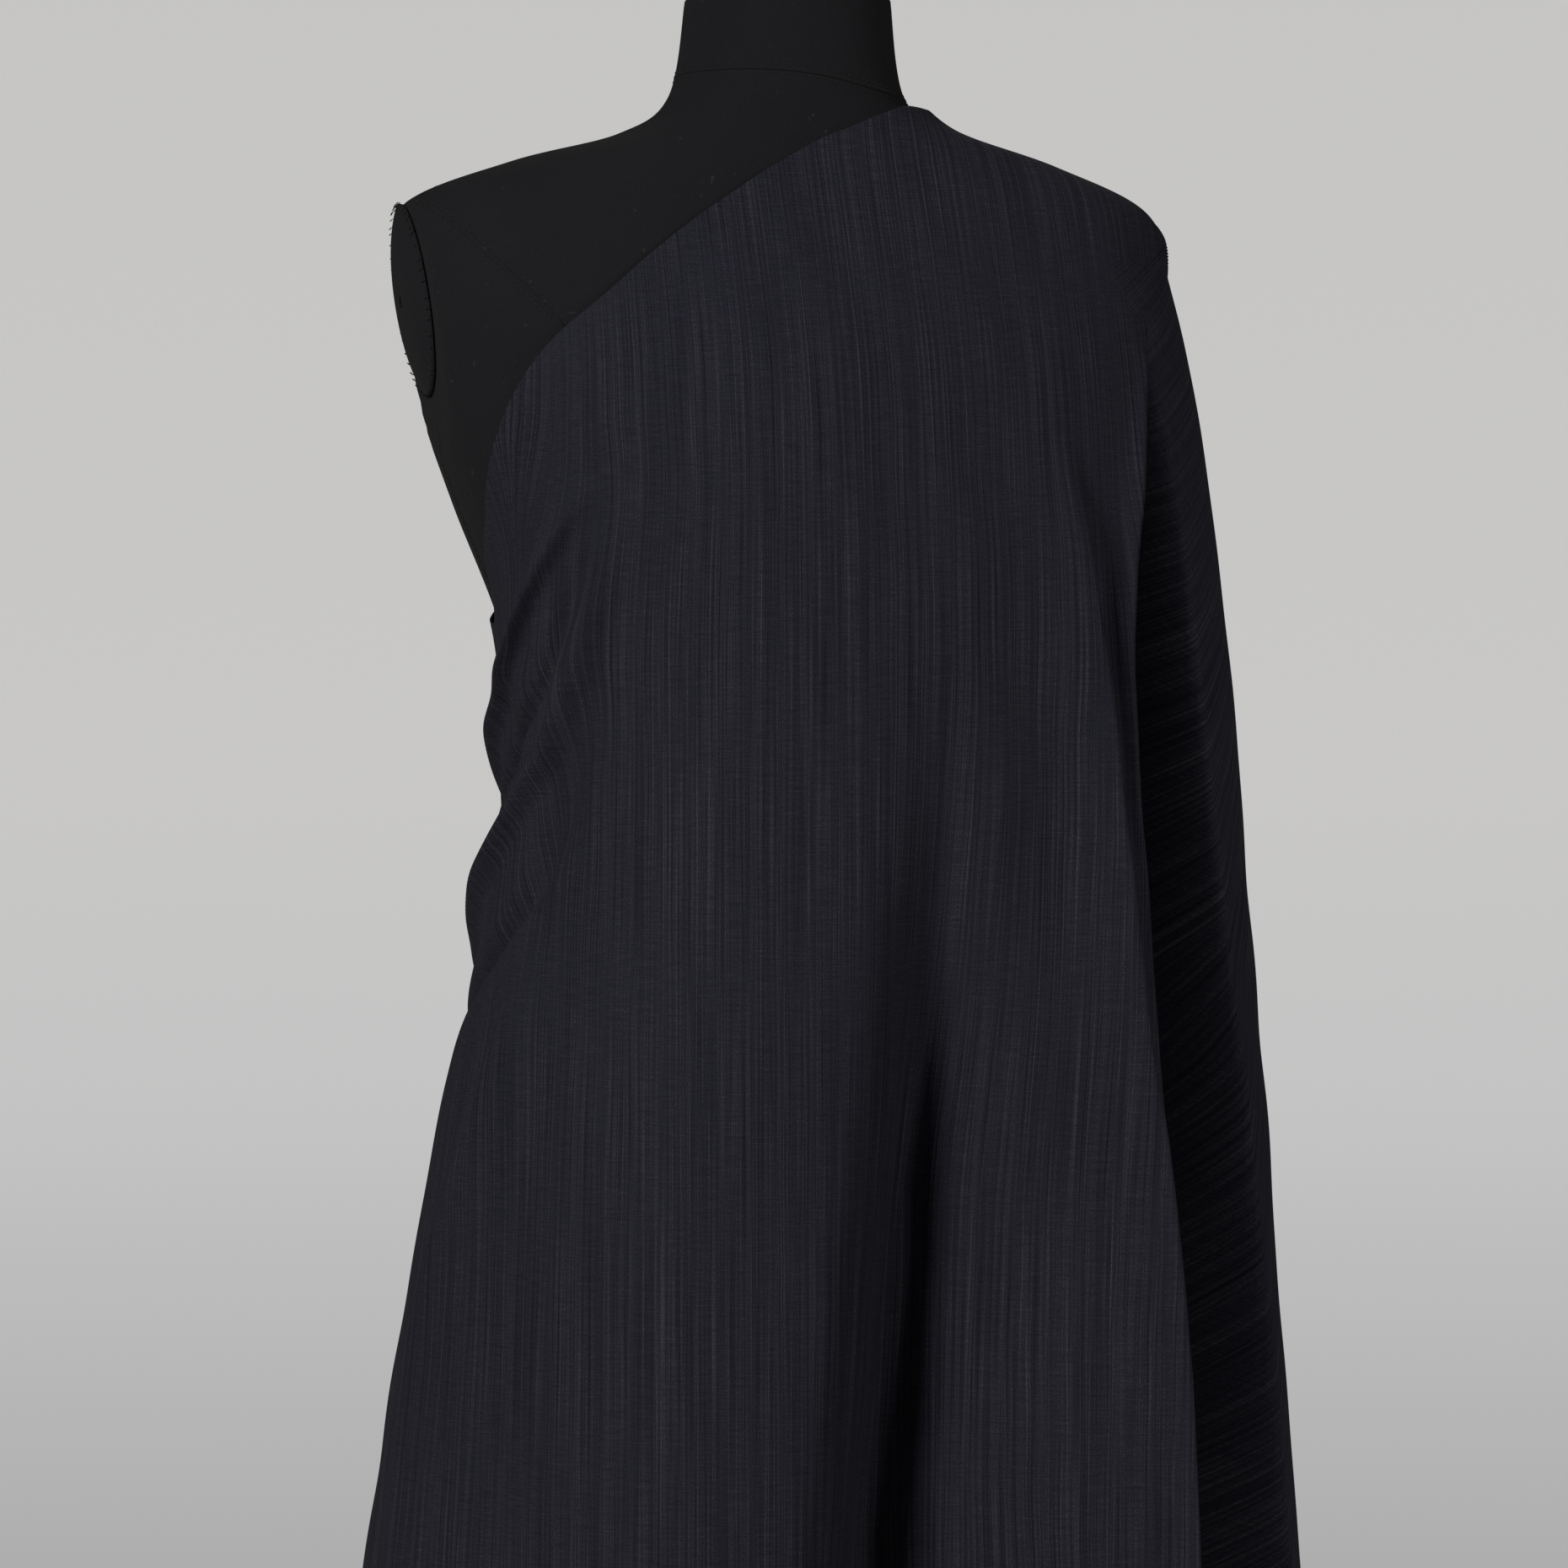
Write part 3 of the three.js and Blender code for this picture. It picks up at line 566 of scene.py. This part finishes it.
def build_seams():
    angles = np.radians(np.linspace(-194, 166, 400))
    s = np.full(angles.shape, torso_station(1.44))
    # the seam's height settles in a few rounds, as its distance across depends on the height
    for _ in range(4):
        distance = across(torso_point(s, angles))
        s = torso_station(along(distance / MM, NECK_SEAM) * MM)
    sewn_line("neck_seam", s, angles, 11)
    for side, mirror in (("right", False), ("left", True)):
        run = np.array(PANEL_SEAM) * MM
        t = np.linspace(0, len(run) - 1, 260)
        distance = along(t, list(enumerate(run[:, 0])))
        height = along(t, list(enumerate(run[:, 1])))
        angle = np.array([torso_angle(d, h) for d, h in zip(distance, height)])
        angle = np.clip(angle, math.radians(-176), None)
        if mirror:
            angle = -math.pi - angle
        sewn_line("panel_seam_" + side, torso_station(height), angle, 20 + mirror)
    for name, turn, top in (("side_seam_right", math.pi, 1.27), ("side_seam_left", 0.0, 1.27),
                            ("back_seam", math.pi / 2, 1.43)):
        height = np.linspace(0.784, top, 200)
        sewn_line(name, torso_station(height), np.full(height.shape, turn), 31)


def build_arm_cover(side, sign):
    """Jersey drawn over the plate at the end of the shoulder, and whipped down round its edge."""
    low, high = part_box("arm_screw_" + side)
    middle = Vector((sign * max(abs(low.x), abs(high.x)), (low.y + high.y) / 2, (low.z + high.z) / 2))
    lean = math.atan(ARM_CUT_SLOPE)
    up = np.array([sign * math.sin(lean), 0, math.cos(lean)])
    out = np.array([sign * math.cos(lean), 0, -math.sin(lean)])
    forward = np.array([0, -1.0, 0])
    centre = np.array(middle) + out * 0.9 * MM
    rings, columns = 18, 72
    turn = np.linspace(0, 2 * math.pi, columns, endpoint=False)
    verts = [centre]
    for k in range(1, rings + 1):
        r = k / rings
        sunk = ARM_COVER_DISH * r ** 3.2
        for a in turn:
            verts.append(centre + forward * ARM_COVER_HALF_DEPTH * r * math.cos(a)
                         + up * ARM_COVER_HALF_HEIGHT * r * math.sin(a) - out * sunk)
    faces = [(0, 1 + k, 1 + (k + 1) % columns) for k in range(columns)]
    faces += [tuple(v + 1 for v in face) for face in grid_faces(rings, columns, closed=True)]
    if sign > 0:
        faces = [face[::-1] for face in faces]
    cover = mesh_piece("arm_cover_" + side, verts, faces)
    thicken(cover, 0.8 * MM)
    dress(cover, JERSEY, "form")

    rng = np.random.default_rng(41)
    verts, faces = [], []
    for k in range(ARM_STITCHES):
        a = 2 * math.pi * k / ARM_STITCHES + rng.normal(0, 0.02)
        spoke = forward * ARM_COVER_HALF_DEPTH * math.cos(a) + up * ARM_COVER_HALF_HEIGHT * math.sin(a)
        start = centre + spoke * 0.97 - out * 3.4 * MM
        end = centre + spoke * rng.uniform(1.0, 1.03) - out * (6.2 + rng.uniform(-0.6, 0.2)) * MM
        line = np.array([start, (start + end) / 2 + out * 0.5 * MM, end])
        normals = np.array([out] * 3)
        made = seam_bead(line, normals, 0.42 * MM, 0.42 * MM)
        faces += [tuple(v + len(verts) for v in face) for face in made[1]]
        verts += list(made[0])
    dress(mesh_piece("arm_stitches_" + side, verts, faces), THREAD, "form")


build_seams()
build_arm_cover("right", -1)
build_arm_cover("left", 1)


# ---------------------------------------------------------------- turned wood and metal
def smooth_profile(profile, steps=10):
    """A curve through every (radius, height) of a profile."""
    t = np.linspace(0, len(profile) - 1, steps * (len(profile) - 1) + 1)
    radius = np.clip(along(t, [(k, row[0]) for k, row in enumerate(profile)]), 0, None)
    return list(zip(radius, along(t, [(k, row[1]) for k, row in enumerate(profile)])))


def turned(name, profile, material, node, body, centre_y=0.0, squeeze=1.0, segments=96):
    """A lathe-turned piece from a profile of (radius, height) in millimetres, standing for a CAD node."""
    points = []
    for radius, height in profile:
        for k in range(segments):
            turn = 2 * math.pi * k / segments
            points.append((radius * MM * math.cos(turn),
                           (centre_y + squeeze * radius * math.sin(turn)) * MM, height * MM))
    piece = mesh_piece(name, points, grid_faces(len(profile), segments, closed=True))
    joined = bmesh.new()
    joined.from_mesh(piece.data)
    bmesh.ops.remove_doubles(joined, verts=joined.verts, dist=1e-6)
    bmesh.ops.holes_fill(joined, edges=joined.edges)
    bmesh.ops.recalc_face_normals(joined, faces=joined.faces)
    joined.to_mesh(piece.data)
    joined.free()
    piece.data.set_sharp_from_angle(angle=math.radians(38))
    dress(piece, material, body)
    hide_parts(node)


def build_turnings():
    """The cap, the finial, the mat and the two tubes, with the other metal pieces' edges eased."""
    cap = [(48, 0), (50, 0.7), (51, 2.2), (51, 6.4), (50.2, 8), (48.6, 9), (46, 9.7), (42, 10.8), (36, 12.6),
           (30, 14.4), (22, 16), (15, 16.8), (0, 17)]
    turned("turned_cap", [(0, CAP_SEAT)] + [(radius, CAP_SEAT + rise) for radius, rise in cap],
           DARK_WOOD, "neck_cap", "form", NECK_CENTRE_Y, CAP_SQUEEZE)
    foot = CAP_SEAT + 17.4
    finial = smooth_profile([(radius, foot + rise) for radius, rise in (
        (12, 0), (13, 2), (12, 4.5), (7.6, 7), (6, 11), (8, 15), (11.5, 19), (14.2, 25), (12.8, 31),
        (8.5, 36), (3.5, 38.6), (0, 39))])
    turned("turned_finial", [(0, foot)] + finial, DARK_WOOD, "neck_finial", "form",
           NECK_CENTRE_Y, segments=72)
    turned("base_mat", [(0, 0), (163.4, 0), (164, 0.6), (164, 2.6), (163.6, 3), (0, 3)],
           RUBBER, "base_pad", "stand", segments=160)
    pole = [(10.5, 300), (12, 300), (12.5, 300.6), (12.5, 1239.4), (12, 1240), (10.5, 1240), (10.5, 300)]
    turned("pole", pole, BRIGHT_STEEL, "inner_pole", "mast")
    turned("pole_sleeve", [(13, 792), (15, 792), (15, 1262), (13, 1262), (13, 792)],
           BRIGHT_STEEL, "socket_tube", "form")
    for name in ("base_plate", "base_boss", "column_tube", "clamp_collar", "clamp_knob", "stop_collar",
                 "column_bush", "socket_flange", "bottom_board"):
        edges = frame["nodes"][name].modifiers.new("eased_edges", "BEVEL")
        edges.width = EASED_EDGE
        edges.segments = 2
        edges.limit_method = "ANGLE"
        edges.angle_limit = math.radians(40)


build_turnings()


# ---------------------------------------------------------------- the draped cloth
def angle_of(distances, heights, low=-178.0, high=-12.0):
    """The direction, in degrees, at which the cloth's section reaches a distance across the view."""
    angles = np.radians(np.linspace(low, high, 240))
    result = []
    for distance, height in zip(distances, heights):
        s = station_of(height)
        reach = across(ring_point(CLOTH_SECTIONS, np.full(angles.shape, s), angles))
        top = np.argmax(reach) + 1
        result.append(np.degrees(np.interp(distance, reach[:top], angles[:top])))
    return np.array(result)


STATIONS = np.linspace(0, len(CLOTH_SECTIONS) - 1, 600)
STATION_HEIGHTS = section_at(CLOTH_SECTIONS, STATIONS)[:, 0]


def station_of(height):
    return np.interp(height, STATION_HEIGHTS, STATIONS)


def front_edge_angle():
    """(height, angle) of the front layer's free edge, from the hem up to the shoulder tip."""
    heights = np.linspace(HEM, 1.352, 60)
    distances = along(heights / MM, FRONT_EDGE) * MM
    angles = angle_of(distances, heights)
    return np.append(heights, [SHOULDER_TIP + TIP_OVERLAP, 1.43]), np.append(angles, [CREST, CREST])


EDGE_HEIGHTS, EDGE_ANGLES = front_edge_angle()

# Folds in the cloth. Each has a path of (height, distance across the view) or, behind, (height, degrees),
# then (height, rise above the cloth, half width on the left, half width on the right). A negative rise is
# a valley.
FRONT_FOLDS = {
    "main_valley": (
        [(350, 56), (530, 60), (731, 68), (815, 76), (898, 82), (1000, 84), (1106, 84), (1180, 84)],
        [(350, -108, 62, 44), (530, -98, 58, 42), (706, -82, 54, 38), (815, -72, 50, 34), (898, -62, 46, 30),
         (960, -44, 44, 28), (1030, -22, 42, 28), (1106, -6, 40, 30), (1180, 0, 40, 30)]),
    "valley_floor": (
        [(350, 92), (530, 96), (731, 104), (815, 110), (898, 112), (1000, 110), (1106, 106)],
        [(350, -50, 30, 36), (530, -46, 30, 36), (706, -38, 28, 34), (815, -32, 26, 32), (898, -24, 24, 30),
         (1000, -10, 24, 28), (1080, 0, 24, 28)]),
    "side_ridge": (
        [(350, 188), (706, 181), (811, 178), (870, 175), (918, 172), (973, 167), (1032, 162.5), (1075, 158),
         (1114, 155), (1172, 149), (1205, 146), (1248, 141), (1290, 136)],
        [(350, 28, 34, 10), (706, 23, 30, 9), (918, 20, 27, 8), (1032, 17, 24, 8), (1114, 15, 22, 8),
         (1205, 9, 22, 8), (1260, 0, 22, 10)]),
    "side_hollow": (
        [(350, 128), (706, 134), (918, 134), (1032, 130), (1114, 124), (1205, 122), (1290, 120)],
        [(350, -10, 30, 34), (706, -7, 26, 28), (918, -5, 24, 26), (1032, -4, 24, 26), (1114, -3, 24, 26),
         (1205, 0, 24, 26)]),
    "edge_roll": (
        [(350, 190), (706, 185), (821, 182), (882, 180.5), (942, 178), (1023, 173), (1098, 168), (1172, 168),
         (1231, 174.5), (1300, 180)],
        [(350, 11, 10, 8), (1000, 11, 10, 8), (1172, 9, 9, 7), (1240, 5, 9, 7), (1320, 0, 8, 7)]),
    "waist_ridge_upper": (
        [(1100, -139), (1114, -137), (1138, -131), (1154, -127), (1175, -120), (1201, -110), (1232, -92)],
        [(1010, 0, 16, 14), (1060, 4, 13, 12), (1114, 9, 10, 9), (1154, 8.5, 11, 9), (1201, 6, 13, 10),
         (1240, 0, 14, 12)]),
    "waist_valley_upper": (
        [(1078, -141), (1100, -131), (1120, -122), (1144, -112), (1170, -102), (1205, -84)],
        [(1000, 0, 16, 16), (1050, -3, 13, 13), (1100, -7.0, 11, 11), (1144, -6.0, 12, 12), (1205, 0, 14, 14)]),
    "waist_ridge_lower": (
        [(1000, -148), (1025, -140), (1057, -126), (1079, -118), (1106, -108), (1138, -99), (1164, -91),
         (1200, -78), (1232, -67)],
        [(890, 0, 20, 18), (960, 5, 16, 14), (1025, 10, 14, 12), (1079, 10.5, 15, 13), (1138, 8.5, 17, 15),
         (1236, 0, 20, 20)]),
    "waist_valley_lower": (
        [(960, -152), (985, -143), (1020, -126), (1060, -110), (1100, -96), (1150, -80)],
        [(860, 0, 20, 20), (920, -3, 17, 17), (985, -8.0, 15, 15), (1040, -8.0, 17, 17), (1150, 0, 20, 20)]),
    "side_band": (
        [(350, -216), (530, -200), (706, -182), (856, -167), (900, -153), (960, -134), (1020, -112),
         (1060, -96)],
        [(350, 6, 40, 60), (706, 6, 26, 44), (856, 5, 20, 34), (960, 4, 18, 28), (1040, 0, 18, 24)]),
    "left_hollow": (
        [(350, -120), (706, -128), (856, -128), (930, -116), (1000, -96)],
        [(350, -12, 40, 50), (706, -7, 34, 40), (856, -5, 30, 34), (960, -2, 24, 30), (1000, 0, 24, 30)]),
}
BACK_FOLDS = {
    "hip_flute": (
        [(350, -206), (700, -203), (1000, -200), (1100, -198)],
        [(350, -30, 44, 44), (706, -18, 36, 36), (930, -6, 30, 30), (1080, 0, 28, 28)]),
    "back_flute_1": (
        [(350, -232), (700, -234), (1000, -238), (1150, -240)],
        [(350, -38, 46, 46), (706, -24, 38, 38), (930, -9, 32, 32), (1100, -2, 28, 28), (1200, 0, 28, 28)]),
    "back_flute_2": (
        [(350, -262), (700, -266), (1000, -271), (1200, -274)],
        [(350, -46, 50, 50), (706, -30, 42, 42), (930, -14, 34, 34), (1106, -5, 30, 30), (1290, 0, 30, 30)]),
    "back_flute_3": (
        [(350, -296), (700, -300), (1000, -304), (1250, -306)],
        [(350, -44, 50, 50), (706, -30, 42, 42), (930, -16, 36, 36), (1106, -8, 32, 32), (1300, 0, 30, 30)]),
    "back_flute_4": (
        [(350, -328), (700, -330), (1000, -333), (1300, -336)],
        [(350, -36, 50, 50), (706, -25, 44, 44), (930, -16, 40, 40), (1150, -8, 36, 36), (1330, 0, 30, 30)]),
}
FOLD_FALL = 2.2  # how steeply a fold falls away from its crest
FOLD_END = 1.6  # in half widths: where it has died out
SIDE_FOLD_START = -158  # degrees: where a waist fold leaves its path to run on round the side
SIDE_FOLD_TURN = 75  # degrees that it then runs
SIDE_FOLD_DROP = 0.15


def fold_relief(z, angle, reach, path_heights, path_angles, shape):
    """How far one fold lifts the cloth, in metres, with a bell-shaped crown square to its path."""
    heights = [row[0] * MM for row in shape]
    rise = along(z, list(zip(heights, [row[1] * MM for row in shape])))
    left = np.interp(z, heights, [row[2] * MM for row in shape])
    right = np.interp(z, heights, [row[3] * MM for row in shape])
    middle = np.interp(z, path_heights, path_angles)
    aside = np.radians(angle - middle) * reach
    t = np.abs(aside) / np.where(aside < 0, left, right)
    crown = np.where(t < FOLD_END, np.exp(-FOLD_FALL * t * t) - math.exp(-FOLD_FALL * FOLD_END ** 2), 0)
    return rise * crown


def fold_paths():
    """(heights, angles, shape) of every fold."""
    paths = []
    for path, shape in FRONT_FOLDS.values():
        heights = np.linspace(path[0][0], path[-1][0], 60) * MM
        distances = along(heights / MM, path) * MM
        angles = angle_of(distances, heights)
        if path[0][0] > 350:
            # a fold that meets the side runs on round it, falling as it goes
            ahead = angles > SIDE_FOLD_START
            heights, angles = heights[ahead], angles[ahead]
            run = np.linspace(heights[0] - SIDE_FOLD_DROP, heights[-1], 160)
            angles = np.interp(run, np.append(run[0], heights), np.append(angles[0] - SIDE_FOLD_TURN, angles))
            padded = np.pad(angles, 12, mode="reflect", reflect_type="odd")
            heights, angles = run, np.convolve(padded, np.full(25, 1 / 25), mode="valid")
        paths.append((heights, angles, shape))
    for path, shape in BACK_FOLDS.values():
        heights = np.linspace(path[0][0], path[-1][0], 30) * MM
        paths.append((heights, along(heights / MM, path), shape))
    return paths


FOLD_PATHS = fold_paths()
MIDDLE = -104.0  # degrees: the cloth's warp runs straight down here
SIDE = -230.0  # degrees: where the front of the wrap gives way to the back
REAR_END = -404.0  # degrees: the inner end of the rear layer, hidden behind the front one
TOP_STATION = 13.45
LOW_STATION = 6.5
LOW_SHARE = 0.66  # of the rows, those below LOW_STATION
# at the side opening: height, degrees at which the rear layer turns in, and height, how deep it goes
SLIT_WALL = [(350, -379), (706, -382), (900, -384), (1100, -386), (1300, -389)]
SLIT_DEPTH = [(350, 125), (706, 115), (900, 98), (1100, 82), (1250, 56), (1320, 28), (1352, 8), (1362, 0)]
# the upper edge round the back: degrees, station
BACK_EDGE = [(-372, 13.45), (-345, 13.3), (-325, 12.9), (-305, 12.2), (-285, 11.2), (-265, 9.8),
             (-245, 8.5), (-225, 7.6), (-200, 7.1), (-176, 6.95)]
RIPPLES = np.random.default_rng(7).uniform(0, 2 * math.pi, (6, 3))
RIPPLE_HEIGHT = 0.35 * MM
CHEST = 1.24  # height at which the front's stripes are spaced
GRAIN_LEAN = 52  # degrees: how far the grain leans at the inner end of the back
HEM_CORNER = 1.6  # metres across the flat cloth from the middle to the rear corner of the hem


def ripple(z, angle):
    """Slight unevenness that any hanging cloth has, from a few long waves."""
    total = np.zeros_like(z)
    for k, (a, b, _) in enumerate(RIPPLES):
        wave = np.sin(np.radians(angle) * (5 + 3 * k) + z * (14 + 9 * k) + a)
        total += wave * np.sin(z * (7 + 5 * k) + b)
    return total * RIPPLE_HEIGHT


def cloth_point(s, angle):
    """A point of the draped cloth at station s and angle in degrees."""
    turn = np.radians(angle)

    def surface(station, direction):
        return ring_point(CLOTH_SECTIONS, station, direction)

    point = surface(s, turn)
    z = point[..., 2]
    reach = np.hypot(point[..., 0], point[..., 1])
    relief = ripple(z, angle)
    for heights, angles, shape in FOLD_PATHS:
        relief += fold_relief(z, angle, reach, heights, angles, shape)
    from_crest = np.minimum(np.abs(angle - CREST), np.abs(angle - CREST + 360))
    relief *= 1 - ease((z - 1.31) / 0.05) * ease((40 - from_crest) / 30)
    depth = along(z / MM, SLIT_DEPTH) * MM * ease((along(z / MM, SLIT_WALL) + 3.5 - angle) / 7)
    normal = outward(surface, s, turn, len(CLOTH_SECTIONS) - 1)
    return kept_off_torso(point + normal * (relief - depth)[..., None])


def kept_off_torso(point):
    """The cloth comes to rest on the torso wherever a fold would pass through it."""
    station = torso_station(point[..., 2])
    centre = section_at(TORSO_SECTIONS, station)[..., 3]
    aside, ahead = point[..., 0], point[..., 1] - centre
    reach = np.hypot(aside, ahead)
    body = ring_point(TORSO_SECTIONS, station, np.arctan2(ahead, aside))
    least = np.hypot(body[..., 0], body[..., 1] - centre) + CLOTH_CLEARANCE
    least = least * ease((point[..., 2] - HEM) / 0.42)
    short = np.clip(least - reach, 0, None)
    moved = point.copy()
    moved[..., 0] += aside / reach * short
    moved[..., 1] += ahead / reach * short
    return moved


def smoothed(values, width):
    """A bell-shaped running mean."""
    kernel = np.exp(-0.5 * (np.arange(-3 * width, 3 * width + 1) / width) ** 2)
    padded = np.pad(values, 3 * width, mode="edge")
    return np.convolve(padded, kernel / kernel.sum(), mode="valid")


def upper_edge():
    """(angle, station) of the cloth's upper edge, all the way round."""
    angles = np.linspace(-368, CREST, 361)
    stations = []
    for angle in angles:
        if angle < -176:
            stations.append(along(np.array(angle), BACK_EDGE))
            continue
        points = ring_point(CLOTH_SECTIONS, STATIONS, np.full(STATIONS.shape, math.radians(angle)))
        height = along(across(points) / MM, UPPER_EDGE) * MM
        above = np.nonzero((points[:, 2] > height) & (STATIONS > 6))[0]
        stations.append(STATIONS[above[0]] if len(above) else TOP_STATION)
    return angles, smoothed(np.array(stations, float), 3)


def cloth_grid():
    """(station, angle) of the cloth's points: rows from the hem up, columns from the front edge round."""
    edge_angles, edge_stations = upper_edge()
    rows, front_columns, back_columns = 440, 430, 310
    r = np.linspace(0, 1, rows)[:, None]
    c = np.linspace(0, 1, front_columns)[None, :]
    d = np.linspace(0, 1, back_columns + 1)[None, 1:]
    columns = front_columns + back_columns
    angle = np.linspace(CREST, CREST - 360, columns)[None, :].repeat(rows, 0)
    # the rows and columns settle in a few rounds, as each depends on the other
    for _ in range(6):
        top = np.interp(angle, edge_angles, edge_stations)
        lower = LOW_STATION * r / LOW_SHARE
        upper = LOW_STATION + (top - LOW_STATION) * (r - LOW_SHARE) / (1 - LOW_SHARE)
        s = np.where(r < LOW_SHARE, lower, upper)
        z = np.interp(s, STATIONS, STATION_HEIGHTS)
        front_end = np.interp(z[:, :1], EDGE_HEIGHTS, EDGE_ANGLES)
        overlap = ease((SHOULDER_TIP + TIP_OVERLAP - z[:, -1:]) / 0.016)
        rear_end = CREST - 360 + (REAR_END - CREST + 360) * overlap
        angle = np.concatenate([front_end + (SIDE - front_end) * c, SIDE + (rear_end - SIDE) * d], 1)
    return s, angle


def cut_layout(points, plain, angle):
    """Where each point of the cloth lies on the flat length: across it, then along it, in metres."""
    eased = 0.35 * points + 0.65 * plain
    steps = np.linalg.norm(np.diff(eased, axis=1), axis=-1)
    length = np.concatenate([np.zeros((len(points), 1)), np.cumsum(steps, 1)], 1)
    start = np.array([np.interp(MIDDLE, row[::-1], run[::-1]) for row, run in zip(angle, length)])
    u = length - start[:, None]
    z = points[..., 2]
    chest = np.argmin(np.abs(z[:, 120] - CHEST))
    facing = angle[chest] > -172
    order = np.argsort(points[chest, facing, 0])
    chest_x, chest_run = points[chest, facing, 0][order], u[chest, facing][order]
    chest_x = np.concatenate([chest_x[:1] - 0.2, chest_x, chest_x[-1:] + 0.2])
    chest_run = np.concatenate([chest_run[:1] + 0.2, chest_run, chest_run[-1:] - 0.2])
    chest_u = np.interp(points[..., 0], chest_x, chest_run)
    share = ease((z - 1.2) / 0.07) * ease((angle + 186) / 14)
    u = u * (1 - share) + chest_u * share
    # the grain leans further and further round the back, turning about the rear corner of the hem
    lean = np.radians(GRAIN_LEAN) * ease((SIDE - 5 - angle) / 120)
    from_end, from_hem = u - HEM_CORNER, z - HEM
    turned_u = from_end * np.cos(lean) + from_hem * np.sin(lean) + HEM_CORNER
    turned_v = from_hem * np.cos(lean) - from_end * np.sin(lean) + HEM
    return np.stack([turned_u, turned_v], -1)


def build_cloth():
    s, angle = cloth_grid()
    points = cloth_point(s, angle)
    plain = ring_point(CLOTH_SECTIONS, s, np.radians(angle))
    # the columns run clockwise seen from above, so the faces are turned to look outwards
    faces = [face[::-1] for face in grid_faces(*s.shape)]
    layout = cut_layout(points, plain, angle)
    cloth = mesh_piece("suiting_length", points.reshape(-1, 3), faces, layout.reshape(-1, 2))
    weld = bmesh.new()
    weld.from_mesh(cloth.data)
    bmesh.ops.remove_doubles(weld, verts=weld.verts, dist=0.05 * MM)
    weld.to_mesh(cloth.data)
    weld.free()
    thicken(cloth, CLOTH_THICKNESS)
    dress(cloth, SUITING, "form")
    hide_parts("cloth_length")


build_cloth()


# ---------------------------------------------------------------- stage, light and camera
def build_stage():
    floor = mesh_piece("floor", [(-3, -3, 0), (3, -3, 0), (3, 3, 0), (-3, 3, 0)], [(0, 1, 2, 3)], smooth=False)
    material, _, _, shader = new_material("pale_floor")
    shader.inputs["Base Color"].default_value = (0.62, 0.61, 0.60, 1)
    shader.inputs["Roughness"].default_value = 0.9
    floor.data.materials.append(material)

    world = bpy.data.worlds.new("studio")
    world.use_nodes = True
    bpy.context.scene.world = world
    nodes, links = world.node_tree.nodes, world.node_tree.links
    background = nodes["Background"]
    # painted shade: the backdrop the camera sees is painted darker towards the bottom, standing for the studio
    # light falling off down it
    direction = nodes.new("ShaderNodeTexCoord").outputs["Generated"]
    height = nodes.new("ShaderNodeSeparateXYZ")
    links.new(direction, height.inputs[0])
    level = nodes.new("ShaderNodeMapRange")
    level.inputs["From Min"].default_value = -0.15
    level.inputs["From Max"].default_value = 0.15
    links.new(height.outputs["Z"], level.inputs["Value"])
    tone = ramp(nodes, [(0.02, (0.41, 0.41, 0.415)), (0.14, (0.47, 0.468, 0.47)),
                        (0.32, (0.56, 0.555, 0.555)), (0.5, (0.58, 0.575, 0.57)), (1.0, (0.565, 0.56, 0.55))])
    links.new(level.outputs["Result"], tone.inputs["Fac"])
    links.new(tone.outputs["Color"], background.inputs["Color"])
    seen = nodes.new("ShaderNodeLightPath").outputs["Is Camera Ray"]
    strength = nodes.new("ShaderNodeMapRange")
    strength.inputs["To Min"].default_value = 0.05
    strength.inputs["To Max"].default_value = 1.0
    links.new(seen, strength.inputs["Value"])
    links.new(strength.outputs["Result"], background.inputs["Strength"])

    for name, place, size, power in (
        ("key_light", (-2.75, -2.1, 2.6), 1.0, 96),
        ("fill_light", (2.3, -2.5, 2.5), 0.9, 34),
    ):
        lamp = bpy.data.lights.new(name, "AREA")
        lamp.size = size
        lamp.energy = power
        holder = bpy.data.objects.new(name, lamp)
        holder.location = place
        aim = Vector((0, 0, 1.1)) - Vector(place)
        holder.rotation_euler = aim.to_track_quat("-Z", "Y").to_euler()
        bpy.context.scene.collection.objects.link(holder)


def build_camera():
    data = bpy.data.cameras.new("camera")
    data.lens = LENS
    data.sensor_width = SENSOR
    camera = bpy.data.objects.new("camera", data)
    away = Vector((math.sin(TURN), -math.cos(TURN), 0)) * CAMERA_DISTANCE
    aside = Vector((math.cos(TURN), math.sin(TURN), 0)) * CAMERA_ASIDE
    camera.location = away + aside + Vector((0, 0, CAMERA_HEIGHT))
    camera.rotation_euler = (-away).to_track_quat("-Z", "Y").to_euler()
    bpy.context.scene.collection.objects.link(camera)
    bpy.context.scene.camera = camera


build_stage()
build_camera()
bpy.context.scene.view_settings.view_transform = "Standard"
